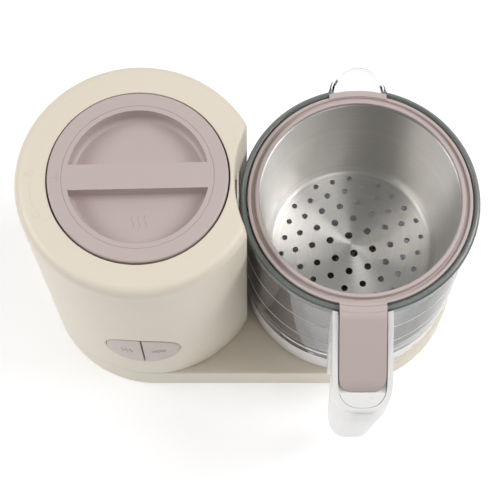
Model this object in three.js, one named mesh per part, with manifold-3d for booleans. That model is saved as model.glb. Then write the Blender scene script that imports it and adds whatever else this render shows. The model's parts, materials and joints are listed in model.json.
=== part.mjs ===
// A countertop baby food maker: a steam boiler column and a glass blending jug on one long base.
// The column holds a boiler under a twist-off lid, two push buttons and a motor, which drives the
// jug's blades by a belt inside the base. A perforated steel basket hangs in the jug.
// Millimetres, +Z up. The origin is on the surface that the feet stand on, under the machine's middle.
import * as THREE from "three";
import { mergeVertices } from "three/addons/utils/BufferGeometryUtils.js";
import Module from "manifold-3d";

const wasm = await Module();
wasm.setup();

// ---------------------------------------------------------------- driving dimensions
const bodyRadius = 80.5; // the column, and both round ends of the base
const axisSpacing = 146; // from the column's axis to the jug's
const baseTop = 33;
const columnTop = 228;
const wall = 2.5; // moulded shells
const gap = 0.3; // between two pieces that touch
const handleReach = 141; // from the jug's axis to the front of its handle
const spoutReach = 96.5; // from the jug's axis to the tip of its spout
const skyHigh = 300; // above everything, for cuts that pass right through

const lidRadius = 58.6;
const lidTop = 229.8;
const gripRadius = 49.2; // the lid's turning grip, inside its rim
const wellRadius = 46; // the two finger wells in the grip
const wellFloor = 217.5;
const fingerBar = 17.6; // width of the bar between the wells

const panelRadius = 26.6; // the round opening for the two buttons
const panelHeight = 95.6; // its centre
const panelTurn = THREE.MathUtils.degToRad(-2.8); // it sits slightly left of the front

const scallopRadius = 83.5; // the hollow in the column that the jug nests in, about the jug's axis
const glassTop = 191;
const glassRadius = 79.3;
const beadRadius = 80.4; // the thick rolled rim of the glass
const beadHeight = 11;
const ridgePitch = 19.7; // the rings moulded round the glass
const ridgeDepth = 0.9;
const ringRadius = 78; // the plastic ring under the glass
const ringTop = 62;

const basketRadius = 67.9; // inside, at the top
const basketFloor = 94;
const strapWidth = 31; // the basket's handle, which lies along the jug's handle
const handleWidth = 39.6;

const holePitch = 14.2; // between neighbouring steam holes
const holeTurn = THREE.MathUtils.degToRad(14.5);

const motorPulleyRadius = 9;
const drivenPulleyRadius = 27; // three times the motor's, so the blades turn at a third of its speed
const beltFloor = 12.5;
const beltWidth = 11;

const large = 28; // sides of a large circle
const medium = 20;
const modest = 14;
const small = 8;

// ---------------------------------------------------------------- shapes
const degrees = THREE.MathUtils.degToRad;

// Revolves [radius, height] points about Z. A profile that isn't on the axis at both ends closes on
// itself.
function lathe(profile, sides = large) {
  const points = profile.map(([r, z]) => new THREE.Vector2(r, z));
  const onAxis = points[0].x === 0 && points[points.length - 1].x === 0;
  if (!onAxis) points.push(points[0].clone());
  return new THREE.LatheGeometry(points, sides).rotateX(Math.PI / 2);
}

function disc(radius, bottom, top, sides = large, x = 0, y = 0) {
  const height = top - bottom;
  const geometry = new THREE.CylinderGeometry(radius, radius, height, sides);
  return geometry.rotateX(Math.PI / 2).translate(x, y, bottom + height / 2);
}

// A cutter for a hole right through, on the axis.
function hole(radius, sides = large) {
  return disc(radius, 0, skyHigh, sides);
}

function ring(outer, inner, bottom, top, sides = large) {
  return lathe([[inner, bottom], [outer, bottom], [outer, top], [inner, top]], sides);
}

// A cylinder that lies along Y, from one y to another.
function rod(radius, yFrom, yTo, x, z, sides = large) {
  const geometry = new THREE.CylinderGeometry(radius, radius, yTo - yFrom, sides);
  return geometry.translate(x, (yFrom + yTo) / 2, z);
}

function block(x, y, z) {
  const size = [x[1] - x[0], y[1] - y[0], z[1] - z[0]];
  const geometry = new THREE.BoxGeometry(...size);
  return geometry.translate((x[0] + x[1]) / 2, (y[0] + y[1]) / 2, (z[0] + z[1]) / 2);
}

function prism(shape, bottom, top, curveSegments = 12) {
  const geometry = new THREE.ExtrudeGeometry(shape, {
    depth: top - bottom,
    bevelEnabled: false,
    curveSegments,
  });
  return geometry.translate(0, 0, bottom);
}

// Extrudes a shape drawn in (y, z) along X, centred on x = 0.
function sidePrism(shape, width, curveSegments = 6) {
  const along = new THREE.Matrix4().makeBasis(
    new THREE.Vector3(0, 1, 0),
    new THREE.Vector3(0, 0, 1),
    new THREE.Vector3(1, 0, 0),
  );
  return prism(shape, -width / 2, width / 2, curveSegments).applyMatrix4(along);
}

// A closed outline through [x, y] corners. Each is rounded by its third number, or by less where an
// edge is short.
function rounded(corners) {
  const shape = new THREE.Shape();
  corners.forEach(([x, y, radius = 0], i) => {
    const here = new THREE.Vector2(x, y);
    const neighbours = [corners.at(i - 1), corners[(i + 1) % corners.length]];
    const [start, end] = neighbours.map(([nextX, nextY]) => {
      const edge = new THREE.Vector2(nextX, nextY).sub(here);
      return edge.setLength(Math.min(radius, edge.length() / 2)).add(here);
    });
    if (i === 0) shape.moveTo(start.x, start.y);
    else shape.lineTo(start.x, start.y);
    if (radius > 0) shape.quadraticCurveTo(x, y, end.x, end.y);
  });
  shape.closePath();
  return shape;
}

// A block between two radii and two angles about Z.
function arcBlock(inner, outer, middle, width, bottom, top) {
  const shape = new THREE.Shape();
  const from = degrees(middle - width / 2);
  const to = degrees(middle + width / 2);
  shape.absarc(0, 0, outer, from, to, false);
  shape.absarc(0, 0, inner, to, from, true);
  shape.closePath();
  return prism(shape, bottom, top, 2);
}

// The outline round the two axes, which the base and its plate share.
function stadium(radius) {
  const shape = new THREE.Shape();
  shape.absarc(axisSpacing / 2, 0, radius, -Math.PI / 2, Math.PI / 2, false);
  shape.absarc(-axisSpacing / 2, 0, radius, Math.PI / 2, Math.PI * 1.5, false);
  shape.closePath();
  return shape;
}

// ---------------------------------------------------------------- solids
// A closed geometry as a manifold solid with its faces pointing out.
function solid(shape) {
  if (shape instanceof wasm.Manifold) return shape;
  const bare = shape.index ? shape.toNonIndexed() : shape.clone();
  bare.deleteAttribute("normal");
  bare.deleteAttribute("uv");
  const merged = mergeVertices(bare, 1e-4);
  const at = (i) => new THREE.Vector3().fromBufferAttribute(merged.attributes.position, i);
  const faces = [];
  let volume = 0;
  for (let i = 0; i < merged.index.count; i += 3) {
    const [a, b, c] = [0, 1, 2].map((k) => merged.index.getX(i + k));
    if (a === b || b === c || c === a) continue;
    faces.push([a, b, c]);
    volume += at(a).dot(at(b).cross(at(c)));
  }
  const outward = volume < 0 ? faces.map(([a, b, c]) => [a, c, b]) : faces;
  const mesh = new wasm.Mesh({
    numProp: 3,
    vertProperties: merged.attributes.position.array,
    triVerts: new Uint32Array(outward.flat()),
  });
  return new wasm.Manifold(mesh);
}

const join = (...shapes) => shapes.map(solid).reduce((a, b) => a.add(b));
const cut = (shape, ...tools) => tools.map(solid).reduce((a, b) => a.subtract(b), solid(shape));
const meet = (...shapes) => shapes.map(solid).reduce((a, b) => a.intersect(b));

function geometryOf(body) {
  const mesh = body.getMesh();
  const geometry = new THREE.BufferGeometry();
  geometry.setAttribute("position", new THREE.BufferAttribute(mesh.vertProperties, 3));
  geometry.setIndex(new THREE.BufferAttribute(mesh.triVerts, 1));
  geometry.computeVertexNormals();
  return geometry;
}

// ---------------------------------------------------------------- materials
function material(color, roughness, metalness = 0, opacity = 1) {
  const transparent = opacity < 1;
  return new THREE.MeshStandardMaterial({ color, roughness, metalness, opacity, transparent });
}

const cream = material("#dccfba", 0.55);
const mauve = material("#bfaeaa", 0.55);
const white = material("#eeeeee", 0.35);
const buttonGrey = material("#c9c3bc", 0.5);
const glass = material("#d5dedb", 0.03, 0, 0.35);
const steel = material("#b9b6b1", 0.3, 1);
const castAluminium = material("#a8a8a8", 0.5, 1);
const copper = material("#9a6a45", 0.4, 1);
const rubber = material("#4a4744", 0.9);
const silicone = material("#e4e2de", 0.6);
const blackPlastic = material("#2e2c2b", 0.5);
const board = material("#2f6b4a", 0.6);

const machine = new THREE.Group();
const acrossFront = (handleReach - spoutReach) / 2; // puts the origin midway between spout and handle
const base = new THREE.Group();
const column = new THREE.Group();
const panel = new THREE.Group();
const jug = new THREE.Group();
base.position.set(0, acrossFront, 0);
column.position.set(-axisSpacing / 2, 0, 0);
jug.position.set(axisSpacing / 2, 0, 0);
panel.rotation.z = panelTurn;
machine.add(base);
base.add(column, jug);
column.add(panel);

function add(group, name, shape, finish) {
  const mesh = new THREE.Mesh(geometryOf(solid(shape)), finish);
  mesh.name = name;
  group.add(mesh);
  return mesh;
}

// ---------------------------------------------------------------- base
const plateBottom = 2.8;
const plateTop = 5.3;
const screwHole = 1.8;
const screwSeatTop = 9;
const columnOpening = 50; // the base's inside is open to the column's
const plinthRadius = 50; // the raised ring that centres the jug
const plinthTop = 37;
const bearingRadius = 11;
const bearingBottom = 27.5;
const bearingTop = 36;
const jugX = axisSpacing / 2;
const glandX = -45; // where the mains lead comes in, at the back
const glandHeight = 18;
const glandRadius = 6;

// Four places, mirrored about both middle planes of the base.
const corners = (x, y) => [[-x, -y], [x, -y], [-x, y], [x, y]];
const footPlaces = corners(118, 48);
const screwPlaces = corners(100, 60);

function baseHousing() {
  const edge = 1.5;
  const outside = new THREE.ExtrudeGeometry(stadium(bodyRadius), {
    depth: baseTop - wall - 2 * edge,
    bevelThickness: edge,
    bevelSize: edge,
    bevelOffset: -edge,
    bevelSegments: 1,
    curveSegments: large / 4,
  }).translate(0, 0, wall + edge);
  const inside = prism(stadium(bodyRadius - wall), -1, baseTop - wall, large / 4);
  const plinth = ring(plinthRadius, plinthRadius - 5, baseTop - 1, plinthTop, medium);
  const seat = ring(bearingRadius + 4, bearingRadius + gap, bearingBottom - 0.5, bearingTop, modest);
  const bosses = screwPlaces.map(([x, y]) => disc(4.5, screwSeatTop + gap, baseTop - 1, small, x, y));
  const pilots = screwPlaces.map(([x, y]) => disc(screwHole, screwSeatTop, 24, small, x, y));
  const underJug = join(plinth, seat).translate([jugX, 0, 0]);
  return cut(
    join(cut(outside, inside), underJug, ...bosses),
    disc(columnOpening, baseTop - wall - 1, baseTop + 1, 40, -jugX),
    disc(bearingRadius + gap, bearingBottom - 1, bearingTop + 1, modest, jugX),
    rod(glandRadius + gap, bodyRadius - 5, bodyRadius + 2, glandX, glandHeight, small),
    ...pilots,
  );
}

function basePlate() {
  const plate = prism(stadium(bodyRadius - wall - gap), plateBottom, plateTop, large / 4);
  const seats = screwPlaces.map(([x, y]) => disc(5.5, plateBottom, screwSeatTop, small, x, y));
  const heads = screwPlaces.map(([x, y]) => disc(3.6, 0, 6.4, small, x, y));
  const holes = screwPlaces.map(([x, y]) => disc(screwHole, 0, 12, small, x, y));
  const footHoles = footPlaces.map(([x, y]) => disc(3.8, 0, 12, small, x, y));
  const vents = [-20, -10, 0, 10, 20].map((x) =>
    block([x - jugX - 2, x - jugX + 2], [-22, 22], [0, 12]),
  );
  return cut(join(plate, ...seats), ...heads, ...holes, ...footHoles, ...vents);
}

// A flanged rubber bush in the back wall, for the mains lead.
function cordGland() {
  const outer = bodyRadius + 1.8;
  const inner = bodyRadius - wall - 2;
  return cut(
    join(
      rod(glandRadius, inner, outer, glandX, glandHeight, small),
      rod(glandRadius + 2.5, bodyRadius + gap, outer, glandX, glandHeight, small),
      rod(glandRadius + 1.8, inner, bodyRadius - wall - gap, glandX, glandHeight, small),
    ),
    rod(3.6, inner - 1, outer + 1, glandX, glandHeight, small),
  );
}

add(base, "base_housing", baseHousing(), cream);
add(base, "base_plate", basePlate(), cream);
add(base, "cord_gland", cordGland(), rubber);

// A rubber foot with a barb that holds it in the plate.
function foot() {
  return lathe([
    [0, 0], [8.4, 0], [9, 0.6], [9, 2.5], [3.5, 2.5],
    [3.5, 5.6], [4.5, 5.6], [3, 7.6], [0, 7.6],
  ], small);
}

// A pan-headed screw with a cross in its head, which faces down.
function baseScrew() {
  const body = lathe([[0, 4.2], [3.2, 4.2], [3.2, 6.1], [1.5, 6.1], [1.5, 22], [0, 23.5]], small);
  const slot = block([-2.4, 2.4], [-0.5, 0.5], [4, 5.2]);
  const crossSlot = block([-0.5, 0.5], [-2.4, 2.4], [4, 5.2]);
  return cut(body, slot, crossSlot);
}

footPlaces.forEach(([x, y], i) => {
  add(base, `foot_${i + 1}`, foot(), rubber).position.set(x, y, 0);
});

screwPlaces.forEach(([x, y], i) => {
  add(base, `base_screw_${i + 1}`, baseScrew(), steel).position.set(x, y, 0);
});

// ---------------------------------------------------------------- belt drive in the base
const spindleRadius = 4;
const bore = (radius) => radius + gap;

// A flanged belt pulley on its own axis.
function pulley(radius, hub, shaft, sides) {
  const low = beltFloor - gap;
  const high = beltFloor + beltWidth + gap;
  const flange = radius + 2.8;
  return cut(
    lathe([
      [0, low - 1.2], [flange, low - 1.2], [flange, low], [radius, low],
      [radius, high], [flange, high], [flange, high + 1.2], [0, high + 1.2],
    ], sides),
    hole(bore(shaft), small),
    ...(hub ? [ring(radius - 3, hub, beltFloor + 4, high + 5, modest)] : []),
  );
}

// The belt's outline, a given distance outside both pulleys.
function beltOutline(offset) {
  const tangent = Math.acos((motorPulleyRadius - drivenPulleyRadius) / axisSpacing);
  const shape = new THREE.Shape();
  shape.absarc(jugX, 0, drivenPulleyRadius + offset, -tangent, tangent, false);
  shape.absarc(-jugX, 0, motorPulleyRadius + offset, tangent, 2 * Math.PI - tangent, false);
  shape.closePath();
  return shape;
}

function driveBelt() {
  const thick = 2;
  const outer = prism(beltOutline(gap + thick), beltFloor, beltFloor + beltWidth, 6);
  return cut(outer, prism(beltOutline(gap), 0, baseTop, 6));
}

// A shaft coupling's outline with six lobes.
function lobed(radius, depth) {
  const shape = new THREE.Shape();
  const steps = 24;
  for (let i = 0; i < steps; i++) {
    const angle = (i / steps) * 2 * Math.PI;
    const r = radius + depth * Math.cos(6 * angle);
    if (i === 0) shape.moveTo(r, 0);
    else shape.lineTo(r * Math.cos(angle), r * Math.sin(angle));
  }
  shape.closePath();
  return shape;
}

const couplerBottom = 37.5;
const couplerTop = 45;
const lobeDepth = 1.5;
const couplerRadius = 9.4;

function spindleBearing() {
  return ring(bearingRadius, bore(spindleRadius), bearingBottom, bearingTop, modest);
}

function driveCoupler() {
  const body = prism(lobed(couplerRadius, lobeDepth), couplerBottom, couplerTop);
  return cut(body, disc(bore(spindleRadius), 0, couplerTop - 0.7, small));
}

add(base, "drive_belt", driveBelt(), rubber);
add(jug, "driven_pulley", pulley(drivenPulleyRadius, 9, spindleRadius, medium), blackPlastic);
add(jug, "drive_spindle", disc(spindleRadius, plateTop + gap, couplerTop - 1, small), steel);
add(jug, "spindle_bearing", spindleBearing(), castAluminium);
add(jug, "drive_coupler", driveCoupler(), blackPlastic);

// ---------------------------------------------------------------- motor
const bracketTop = baseTop + gap + 3;
const motorRadius = 27;
const motorTop = 84;
const shaftRadius = 3;

function motorBracket() {
  const plate = meet(disc(70, baseTop + gap, bracketTop, medium), block([-80, 57], [-34, 34], [0, 60]));
  return cut(plate, hole(8, modest));
}

function motorStator() {
  const floor = bracketTop + gap;
  return lathe([
    [8, floor], [motorRadius, floor], [motorRadius, motorTop],
    [motorRadius - 3.5, motorTop], [motorRadius - 3.5, floor + 2.5], [8, floor + 2.5],
  ], modest);
}

function motorEndCap() {
  const floor = motorTop + gap;
  const cap = disc(motorRadius, floor, floor + 3, modest);
  const hub = disc(7, floor, floor + 7, modest);
  const brushHolder = block([9, 22], [-5, 5], [floor + 2, floor + 11]);
  const otherHolder = brushHolder.clone().rotateZ(Math.PI);
  return cut(join(cap, hub, brushHolder, otherHolder), hole(bore(shaftRadius), small));
}

function motorArmature() {
  const core = disc(22.6, 44, 74, modest);
  const commutator = disc(10, 74, 82, modest);
  return cut(join(core, commutator), hole(bore(shaftRadius), small));
}

function coolingFan() {
  const floor = 99;
  const hub = join(disc(9, floor, floor + 9, modest), disc(25, floor, floor + 1.5, modest));
  const vanes = [...Array(8).keys()].map((i) =>
    block([8, 24.5], [-0.8, 0.8], [floor + 1, floor + 9]).rotateZ((i * Math.PI) / 4 + 0.3),
  );
  return cut(join(hub, ...vanes), hole(bore(shaftRadius), small));
}

add(column, "motor_bracket", motorBracket(), castAluminium);
add(column, "motor_stator", motorStator(), steel);
add(column, "motor_end_cap", motorEndCap(), blackPlastic);
add(column, "motor_shaft", disc(shaftRadius, 10, 110, small), steel);
add(column, "motor_armature", motorArmature(), copper);
add(column, "cooling_fan", coolingFan(), blackPlastic);
add(column, "motor_pulley", pulley(motorPulleyRadius, 0, shaftRadius, modest), blackPlastic);

// ---------------------------------------------------------------- column shell
const columnFoot = baseTop + gap;
const shoulder = 7; // radius of the rounded top edge
const lidOpening = 60;
const nozzleHeight = 204;
const collarEarAngles = [90, 180, 270];
const earRadius = 68;

// Quarter-circle points, from the cylinder's side up to its top.
function shoulderArc(radius, top, round, steps = 4) {
  return [...Array(steps + 1).keys()].map((i) => {
    const angle = (i / steps) * (Math.PI / 2);
    return [radius - round + round * Math.cos(angle), top - round + round * Math.sin(angle)];
  });
}

function columnShell() {
  const outerArc = shoulderArc(bodyRadius, columnTop, shoulder);
  const outside = lathe([[0, columnFoot], [bodyRadius, columnFoot], ...outerArc, [0, columnTop]]);
  const insideRadius = bodyRadius - wall;
  const insideTop = columnTop - wall;
  const innerArc = shoulderArc(insideRadius, insideTop, shoulder - wall, 1);
  const under = columnFoot - 1;
  const inside = lathe([[0, under], [insideRadius, under], ...innerArc, [0, insideTop]]);
  const scallop = disc(scallopRadius, 0, skyHigh, large, axisSpacing);
  const scallopBack = disc(scallopRadius + wall, 0, skyHigh, large, axisSpacing);
  const shell = cut(outside, scallop, cut(inside, scallopBack));
  const lip = ring(lidOpening + 2, lidOpening - 1, 217, columnTop - 1);
  const bosses = collarEarAngles.map((angle) => {
    const x = earRadius * Math.cos(degrees(angle));
    const y = earRadius * Math.sin(degrees(angle));
    return cut(disc(3.6, 214.2, columnTop - 1, small, x, y), disc(1.5, 200, 222, small, x, y));
  });
  return cut(
    join(shell, lip, ...bosses),
    disc(lidOpening, 200, skyHigh),
    rod(panelRadius, -100, -40, 0, panelHeight, medium).rotateZ(panelTurn),
    block([55, 70], [-6 - gap, 6 + gap], [nozzleHeight - 4 - gap, nozzleHeight + 4 + gap]),
  );
}

add(column, "column_shell", columnShell(), cream);

// ---------------------------------------------------------------- boiler
const collarTop = 213;
const collarBottom = 182;
const collarRadius = 56.3;
const throat = 50.2; // the collar's bore above the seal's seat
const seatTop = 195.7;
const tankRadius = 42;
const tankFloor = 140;
const tankThick = 1.2;
const ledgeBottom = 208.4; // the lid's lugs turn under the ledges above this height
const grooveFloor = 203.2;
const grooveRadius = 55.3;
const lugAngles = [60, 180, 300];
const lugWidth = 34; // degrees
const steamHoleHeight = 189.5;
const elementRadius = 28; // the heating element's ring, from the column's axis

function boilerCollar() {
  const body = lathe([
    [tankRadius, collarBottom], [collarRadius, collarBottom], [collarRadius, collarTop],
    [throat, collarTop], [throat, ledgeBottom], [grooveRadius, ledgeBottom],
    [grooveRadius, grooveFloor], [throat, grooveFloor], [throat, seatTop], [tankRadius, seatTop],
  ]);
  const ear = cut(
    block([collarRadius - 0.7, earRadius + 4], [-4.5, 4.5], [210.7, 213.9]),
    disc(screwHole, 200, 220, small, earRadius),
  );
  const ears = collarEarAngles.map((angle) => ear.rotate([0, 0, angle]));
  const gates = lugAngles.map((angle) =>
    arcBlock(throat - 2, grooveRadius, angle, lugWidth + 6, grooveFloor, collarTop + 5),
  );
  const steamHole = rod(3, 40, 60, 0, steamHoleHeight, small).rotateZ(-Math.PI / 2);
  return cut(join(body, ...ears), ...gates, steamHole);
}

function boilerTank() {
  const thick = tankThick;
  const flangeTop = 180;
  return lathe([
    [0, tankFloor - thick], [tankRadius - 3, tankFloor - thick], [tankRadius + thick, tankFloor + 3],
    [tankRadius + thick, flangeTop - thick], [51, flangeTop - thick], [51, flangeTop],
    [tankRadius, flangeTop], [tankRadius, tankFloor + 4], [tankRadius - 4, tankFloor], [0, tankFloor],
  ]);
}

function heaterPlate() {
  const top = tankFloor - tankThick - gap;
  const groove = ring(elementRadius + 3.6, elementRadius - 3.6, top - 12, top - 5.5, medium);
  return cut(disc(38, top - 9, top, medium), groove);
}

function heaterElement() {
  const height = tankFloor - 10.5;
  const tubeRadius = 3.1;
  const tube = [...Array(8).keys()].map((i) => {
    const angle = (i / 8) * 2 * Math.PI;
    return [elementRadius + tubeRadius * Math.cos(angle), height + tubeRadius * Math.sin(angle)];
  });
  const terminals = [-15, 15].map((angle) =>
    disc(1.6, height - 13, height, 8, elementRadius).rotateZ(degrees(angle)),
  );
  return join(lathe(tube, medium), ...terminals);
}

// A flat duct that takes the steam from the collar up to the nozzle.
function steamDuct() {
  const half = 7;
  const body = block([56.8, 59.6], [-half, half], [184, 210]);
  const riser = block([57.6, 58.8], [-5, 5], [186.5, 207.5]);
  const inlet = block([50, 58], [-3, 3], [186.5, 192.5]);
  const outlet = block([58, 65], [-4.5, 4.5], [nozzleHeight - 2.5, nozzleHeight + 2.5]);
  return cut(body, riser, inlet, outlet);
}

// The pale nozzle that stands out of the hollow in the column and meets the steam inlet of the jug's lid.
function steamNozzle() {
  const neck = block([59.9, 64.7], [-6, 6], [nozzleHeight - 4, nozzleHeight + 4]);
  const face = block([63.9, 64.7], [-9.5, 9.5], [nozzleHeight - 8, nozzleHeight + 8.5]);
  return cut(join(neck, face), block([55, 70], [-4.2, 4.2], [nozzleHeight - 2.6, nozzleHeight + 2.6]));
}

add(column, "boiler_collar", boilerCollar(), white);
add(column, "tank_gasket", ring(50, tankRadius + gap, 180.3, 181.7), silicone);
add(column, "boiler_tank", boilerTank(), steel);
add(column, "tank_clamp", ring(55.5, 43.6, 176.3, 178.4), castAluminium);
add(column, "heater_plate", heaterPlate(), castAluminium);
add(column, "heater_element", heaterElement(), steel);
add(column, "thermostat", join(disc(9, 121, 129.2, modest), disc(5, 116, 121, small)), blackPlastic);
add(column, "steam_duct", steamDuct(), silicone);
add(column, "steam_nozzle", steamNozzle(), silicone);

// ---------------------------------------------------------------- boiler lid
const hubRadius = 6;

// The ring under the grip, whose three lugs drop through the collar's gates and turn under its ledges.
function lidBayonet() {
  const plate = lathe([
    [hubRadius, 203], [9, 203], [9, 212], [46.3, 212], [46.3, 203],
    [49.5, 203], [49.5, 214.6], [hubRadius, 214.6],
  ]);
  const lugs = lugAngles.map((angle) => arcBlock(48, 54.5, angle, lugWidth, 204, 207.6));
  return join(plate, ...lugs);
}

function lidGrip() {
  const edge = 0.6;
  const body = lathe([
    [0, wellFloor - wall], [gripRadius, wellFloor - wall], [gripRadius, lidTop - edge],
    [gripRadius - edge, lidTop], [wellRadius, lidTop], [wellRadius, wellFloor + 4],
    [wellRadius - 4, wellFloor], [0, wellFloor],
  ]);
  const half = fingerBar / 2;
  const bar = block([-wellRadius - 1, wellRadius + 1], [-half, half], [wellFloor - wall, lidTop]);
  const hollow = block([-wellRadius + 3, wellRadius - 3], [-half + 2, half - 2], [200, lidTop - wall]);
  return cut(join(body, meet(bar, hole(gripRadius))), hollow);
}

function lidCap() {
  const edge = 0.8;
  const inner = gripRadius + gap;
  const skirt = lidRadius - 2.2;
  return lathe([
    [inner, 217], [inner, lidTop - edge], [inner + edge, lidTop], [lidRadius - edge, lidTop],
    [lidRadius, lidTop - edge], [lidRadius, 214.8], [skirt, 214.8], [skirt, lidTop - 3],
    [inner + 2, lidTop - 3], [inner + 2, 217],
  ]);
}

function lidSealPlate() {
  const stub = hubRadius - gap;
  return lathe([[0, 199.3], [45.5, 199.3], [45.5, 201.8], [stub, 201.8], [stub, 214], [0, 214]]);
}

add(column, "lid_seal", lathe([[41.5, 196], [48, 196], [48, 199], [41.5, 199]]), silicone);
add(column, "lid_seal_plate", lidSealPlate(), steel);
add(column, "lid_bayonet", lidBayonet(), white);
add(column, "lid_grip", lidGrip(), mauve);
add(column, "lid_cap", lidCap(), mauve);

// ---------------------------------------------------------------- buttons and boards
const panelFace = 80.1; // the buttons follow the column's curve just inside it
const buttonRadius = panelRadius - 0.45;
const stemX = 12;

// Half of a disc that faces the front, on one side of the dividing gap.
function halfDisc(radius, yFrom, yTo, side, from = 0.4) {
  const across = side > 0 ? [from, 40] : [-40, -from];
  const keep = block(across, [yFrom - 1, yTo + 1], [panelHeight - 40, panelHeight + 40]);
  return meet(rod(radius, yFrom, yTo, 0, panelHeight, medium), keep);
}

function button(side) {
  const face = meet(halfDisc(buttonRadius, -81, -70, side), disc(panelFace, 0, 200, large));
  const hollow = meet(halfDisc(buttonRadius - 2, -77, -60, side, 2.4), disc(panelFace - 2.2, 0, 200));
  const flange = cut(halfDisc(28.3, -71.4, -70, side), halfDisc(buttonRadius - 2, -75, -60, side, 2.4));
  const stem = rod(2.5, -78.5, -68.2, side * stemX, panelHeight, small);
  return join(cut(join(face, flange), hollow), stem);
}

function buttonFrame() {
  const body = rod(31.4, -70.6, -62, 0, panelHeight, medium);
  const recess = rod(29, -72, -64, 0, panelHeight, medium);
  const half = 4.5;
  const windows = [-stemX, stemX].map((x) =>
    block([x - half, x + half], [-70, -60], [panelHeight - half, panelHeight + half]),
  );
  return cut(body, recess, ...windows);
}

function controlBoard() {
  const boardPlate = block([-27, 27], [-61.6, -60], [panelHeight - 26, panelHeight + 26]);
  const chip = block([-6, 6], [-60.2, -58], [panelHeight - 20, panelHeight - 8]);
  const switches = [-1, 1].flatMap((side) => [
    block([side * stemX - 3, side * stemX + 3], [-65.4, -61.5], [panelHeight - 3, panelHeight + 3]),
    rod(1.6, -66.4, -65, side * stemX, panelHeight, 10),
  ]);
  return join(boardPlate, chip, ...switches);
}

function powerBoard() {
  return join(
    block([-32, 32], [50, 51.6], [44, 108]),
    block([-26, -6], [36, 50.5], [60, 76]),
    rod(7, 34, 50.5, 16, 66, small),
    block([-4, 26], [40, 50.5], [84, 102]),
  );
}

add(panel, "steam_button", button(-1), buttonGrey);
add(panel, "blend_button", button(1), buttonGrey);
add(panel, "button_frame", buttonFrame(), blackPlastic);
add(panel, "control_board", controlBoard(), board);
add(column, "power_board", powerBoard(), board);

// ---------------------------------------------------------------- jug
const glassFloor = 55;
const glassStep = ringTop + gap; // below this height the glass is narrower and sits in the ring
const neckHole = 18.6;
const bladeSpindleRadius = 3;
const spoutWidth = 39;

// The spout is a leaning cone, wide at the rim and narrow below it.
function spoutCone(inset, top) {
  const low = 158;
  const topRadius = spoutWidth / 2 - inset;
  const lowRadius = 7 - inset;
  const topMiddle = spoutReach - spoutWidth / 2;
  const lowMiddle = 71;
  const height = top - low;
  const lean = (topMiddle - lowMiddle) / (glassTop - low);
  const grow = (topRadius - lowRadius) / (glassTop - low);
  const cone = new THREE.CylinderGeometry(lowRadius + grow * height, lowRadius, height, modest);
  const shear = new THREE.Matrix4().makeShear(0, 0, 0, 0, 0, lean);
  const upright = cone.rotateX(Math.PI / 2).translate(0, 0, height / 2);
  return upright.applyMatrix4(shear).translate(0, lowMiddle, low);
}

function jugGlass() {
  const beadBottom = glassTop - beadHeight;
  const ridges = [];
  for (let z = glassStep; z + ridgePitch < beadBottom; z += ridgePitch) {
    ridges.push([glassRadius, z], [glassRadius - ridgeDepth, z + ridgePitch - 1.5]);
  }
  const outline = lathe([
    [neckHole, 50.4], [72, 50.4], [74.8, 53], [74.8, glassStep], ...ridges,
    [glassRadius - 0.3, beadBottom - 1], [beadRadius, beadBottom + 2], [beadRadius, glassTop - 1.5],
    [beadRadius - 1.5, glassTop], [77.2, glassTop], [76.2, glassTop - 1], [75.6, beadBottom],
    [74.4, 70], [71, 59], [66, glassFloor], [neckHole, glassFloor],
  ]);
  const outerSpout = cut(spoutCone(0, glassTop), hole(76.1));
  return cut(join(outline, outerSpout), spoutCone(3, glassTop + 5));
}

function jugRing() {
  const skirt = ring(plinthRadius + 4, plinthRadius + 0.8, plinthTop - 1, 45, medium);
  const body = lathe([
    [19, 39.2], [22.5, 39.2], [22.5, 44], [75, 44], [75, columnFoot], [77.4, columnFoot],
    [ringRadius, columnFoot + 0.8], [ringRadius, ringTop - 2], [ringRadius - 1, ringTop - 0.5],
    [ringRadius - 2, ringTop], [75.2, ringTop], [75.2, 47], [19, 47],
  ]);
  return join(body, skirt);
}

function bladeHousing() {
  return lathe([
    [3.4, 56], [3.4, 70], [8, 70], [10, 66], [20, 60.5], [26, 58.6], [26, glassFloor + gap],
    [18.3, glassFloor + gap], [18.3, 40], [14.6, 40], [14.6, 50], [6.4, 50], [6.4, 56],
  ], modest);
}

// The threaded ring that clamps the blade housing to the jug, with two finger tabs.
function bladeLockNut() {
  const nut = ring(26, neckHole + 0.1, 36, 38.9, modest);
  const tab = block([22, 32], [-3, 3], [36, 38.9]);
  return join(nut, tab, tab.clone().rotateZ(Math.PI));
}

// One curved blade, bent up by its tilt.
function bladeWing(turn, tilt, reach, height) {
  const shape = new THREE.Shape();
  shape.moveTo(0, -5.5);
  shape.quadraticCurveTo(reach * 0.6, -8, reach, 2.5);
  shape.quadraticCurveTo(reach * 0.6, 6.5, 0, 5.5);
  shape.closePath();
  const flat = prism(shape, -0.75, 0.75, 5);
  return flat.rotateY(-degrees(tilt)).rotateZ(degrees(turn)).translate(0, 0, height);
}

// Four steel blades, two swept up and two swept down.
function blades() {
  const raised = [0, 180].map((turn) => bladeWing(turn, 24, 31, 71.1));
  const lowered = [90, 270].map((turn) => bladeWing(turn, -12, 33, 74.5));
  const hub = disc(7, 72.9, 75.2, modest);
  return cut(join(...raised, ...lowered, hub), hole(bore(bladeSpindleRadius), small));
}

function jugCoupler() {
  return cut(
    disc(14.2, 40.2, 49.6, modest),
    prism(lobed(couplerRadius + 0.7, lobeDepth), 30, 46.2),
    hole(bore(bladeSpindleRadius), small),
  );
}

function bladeNut() {
  const hexagon = disc(5.6, 75.5, 79.2, 6);
  const dome = lathe([[0, 78], [4.6, 78], [4.4, 80.4], [3, 81.9], [0, 82.4]], small);
  return cut(join(hexagon, dome), disc(bore(bladeSpindleRadius), 0, 79.8, small));
}

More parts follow.
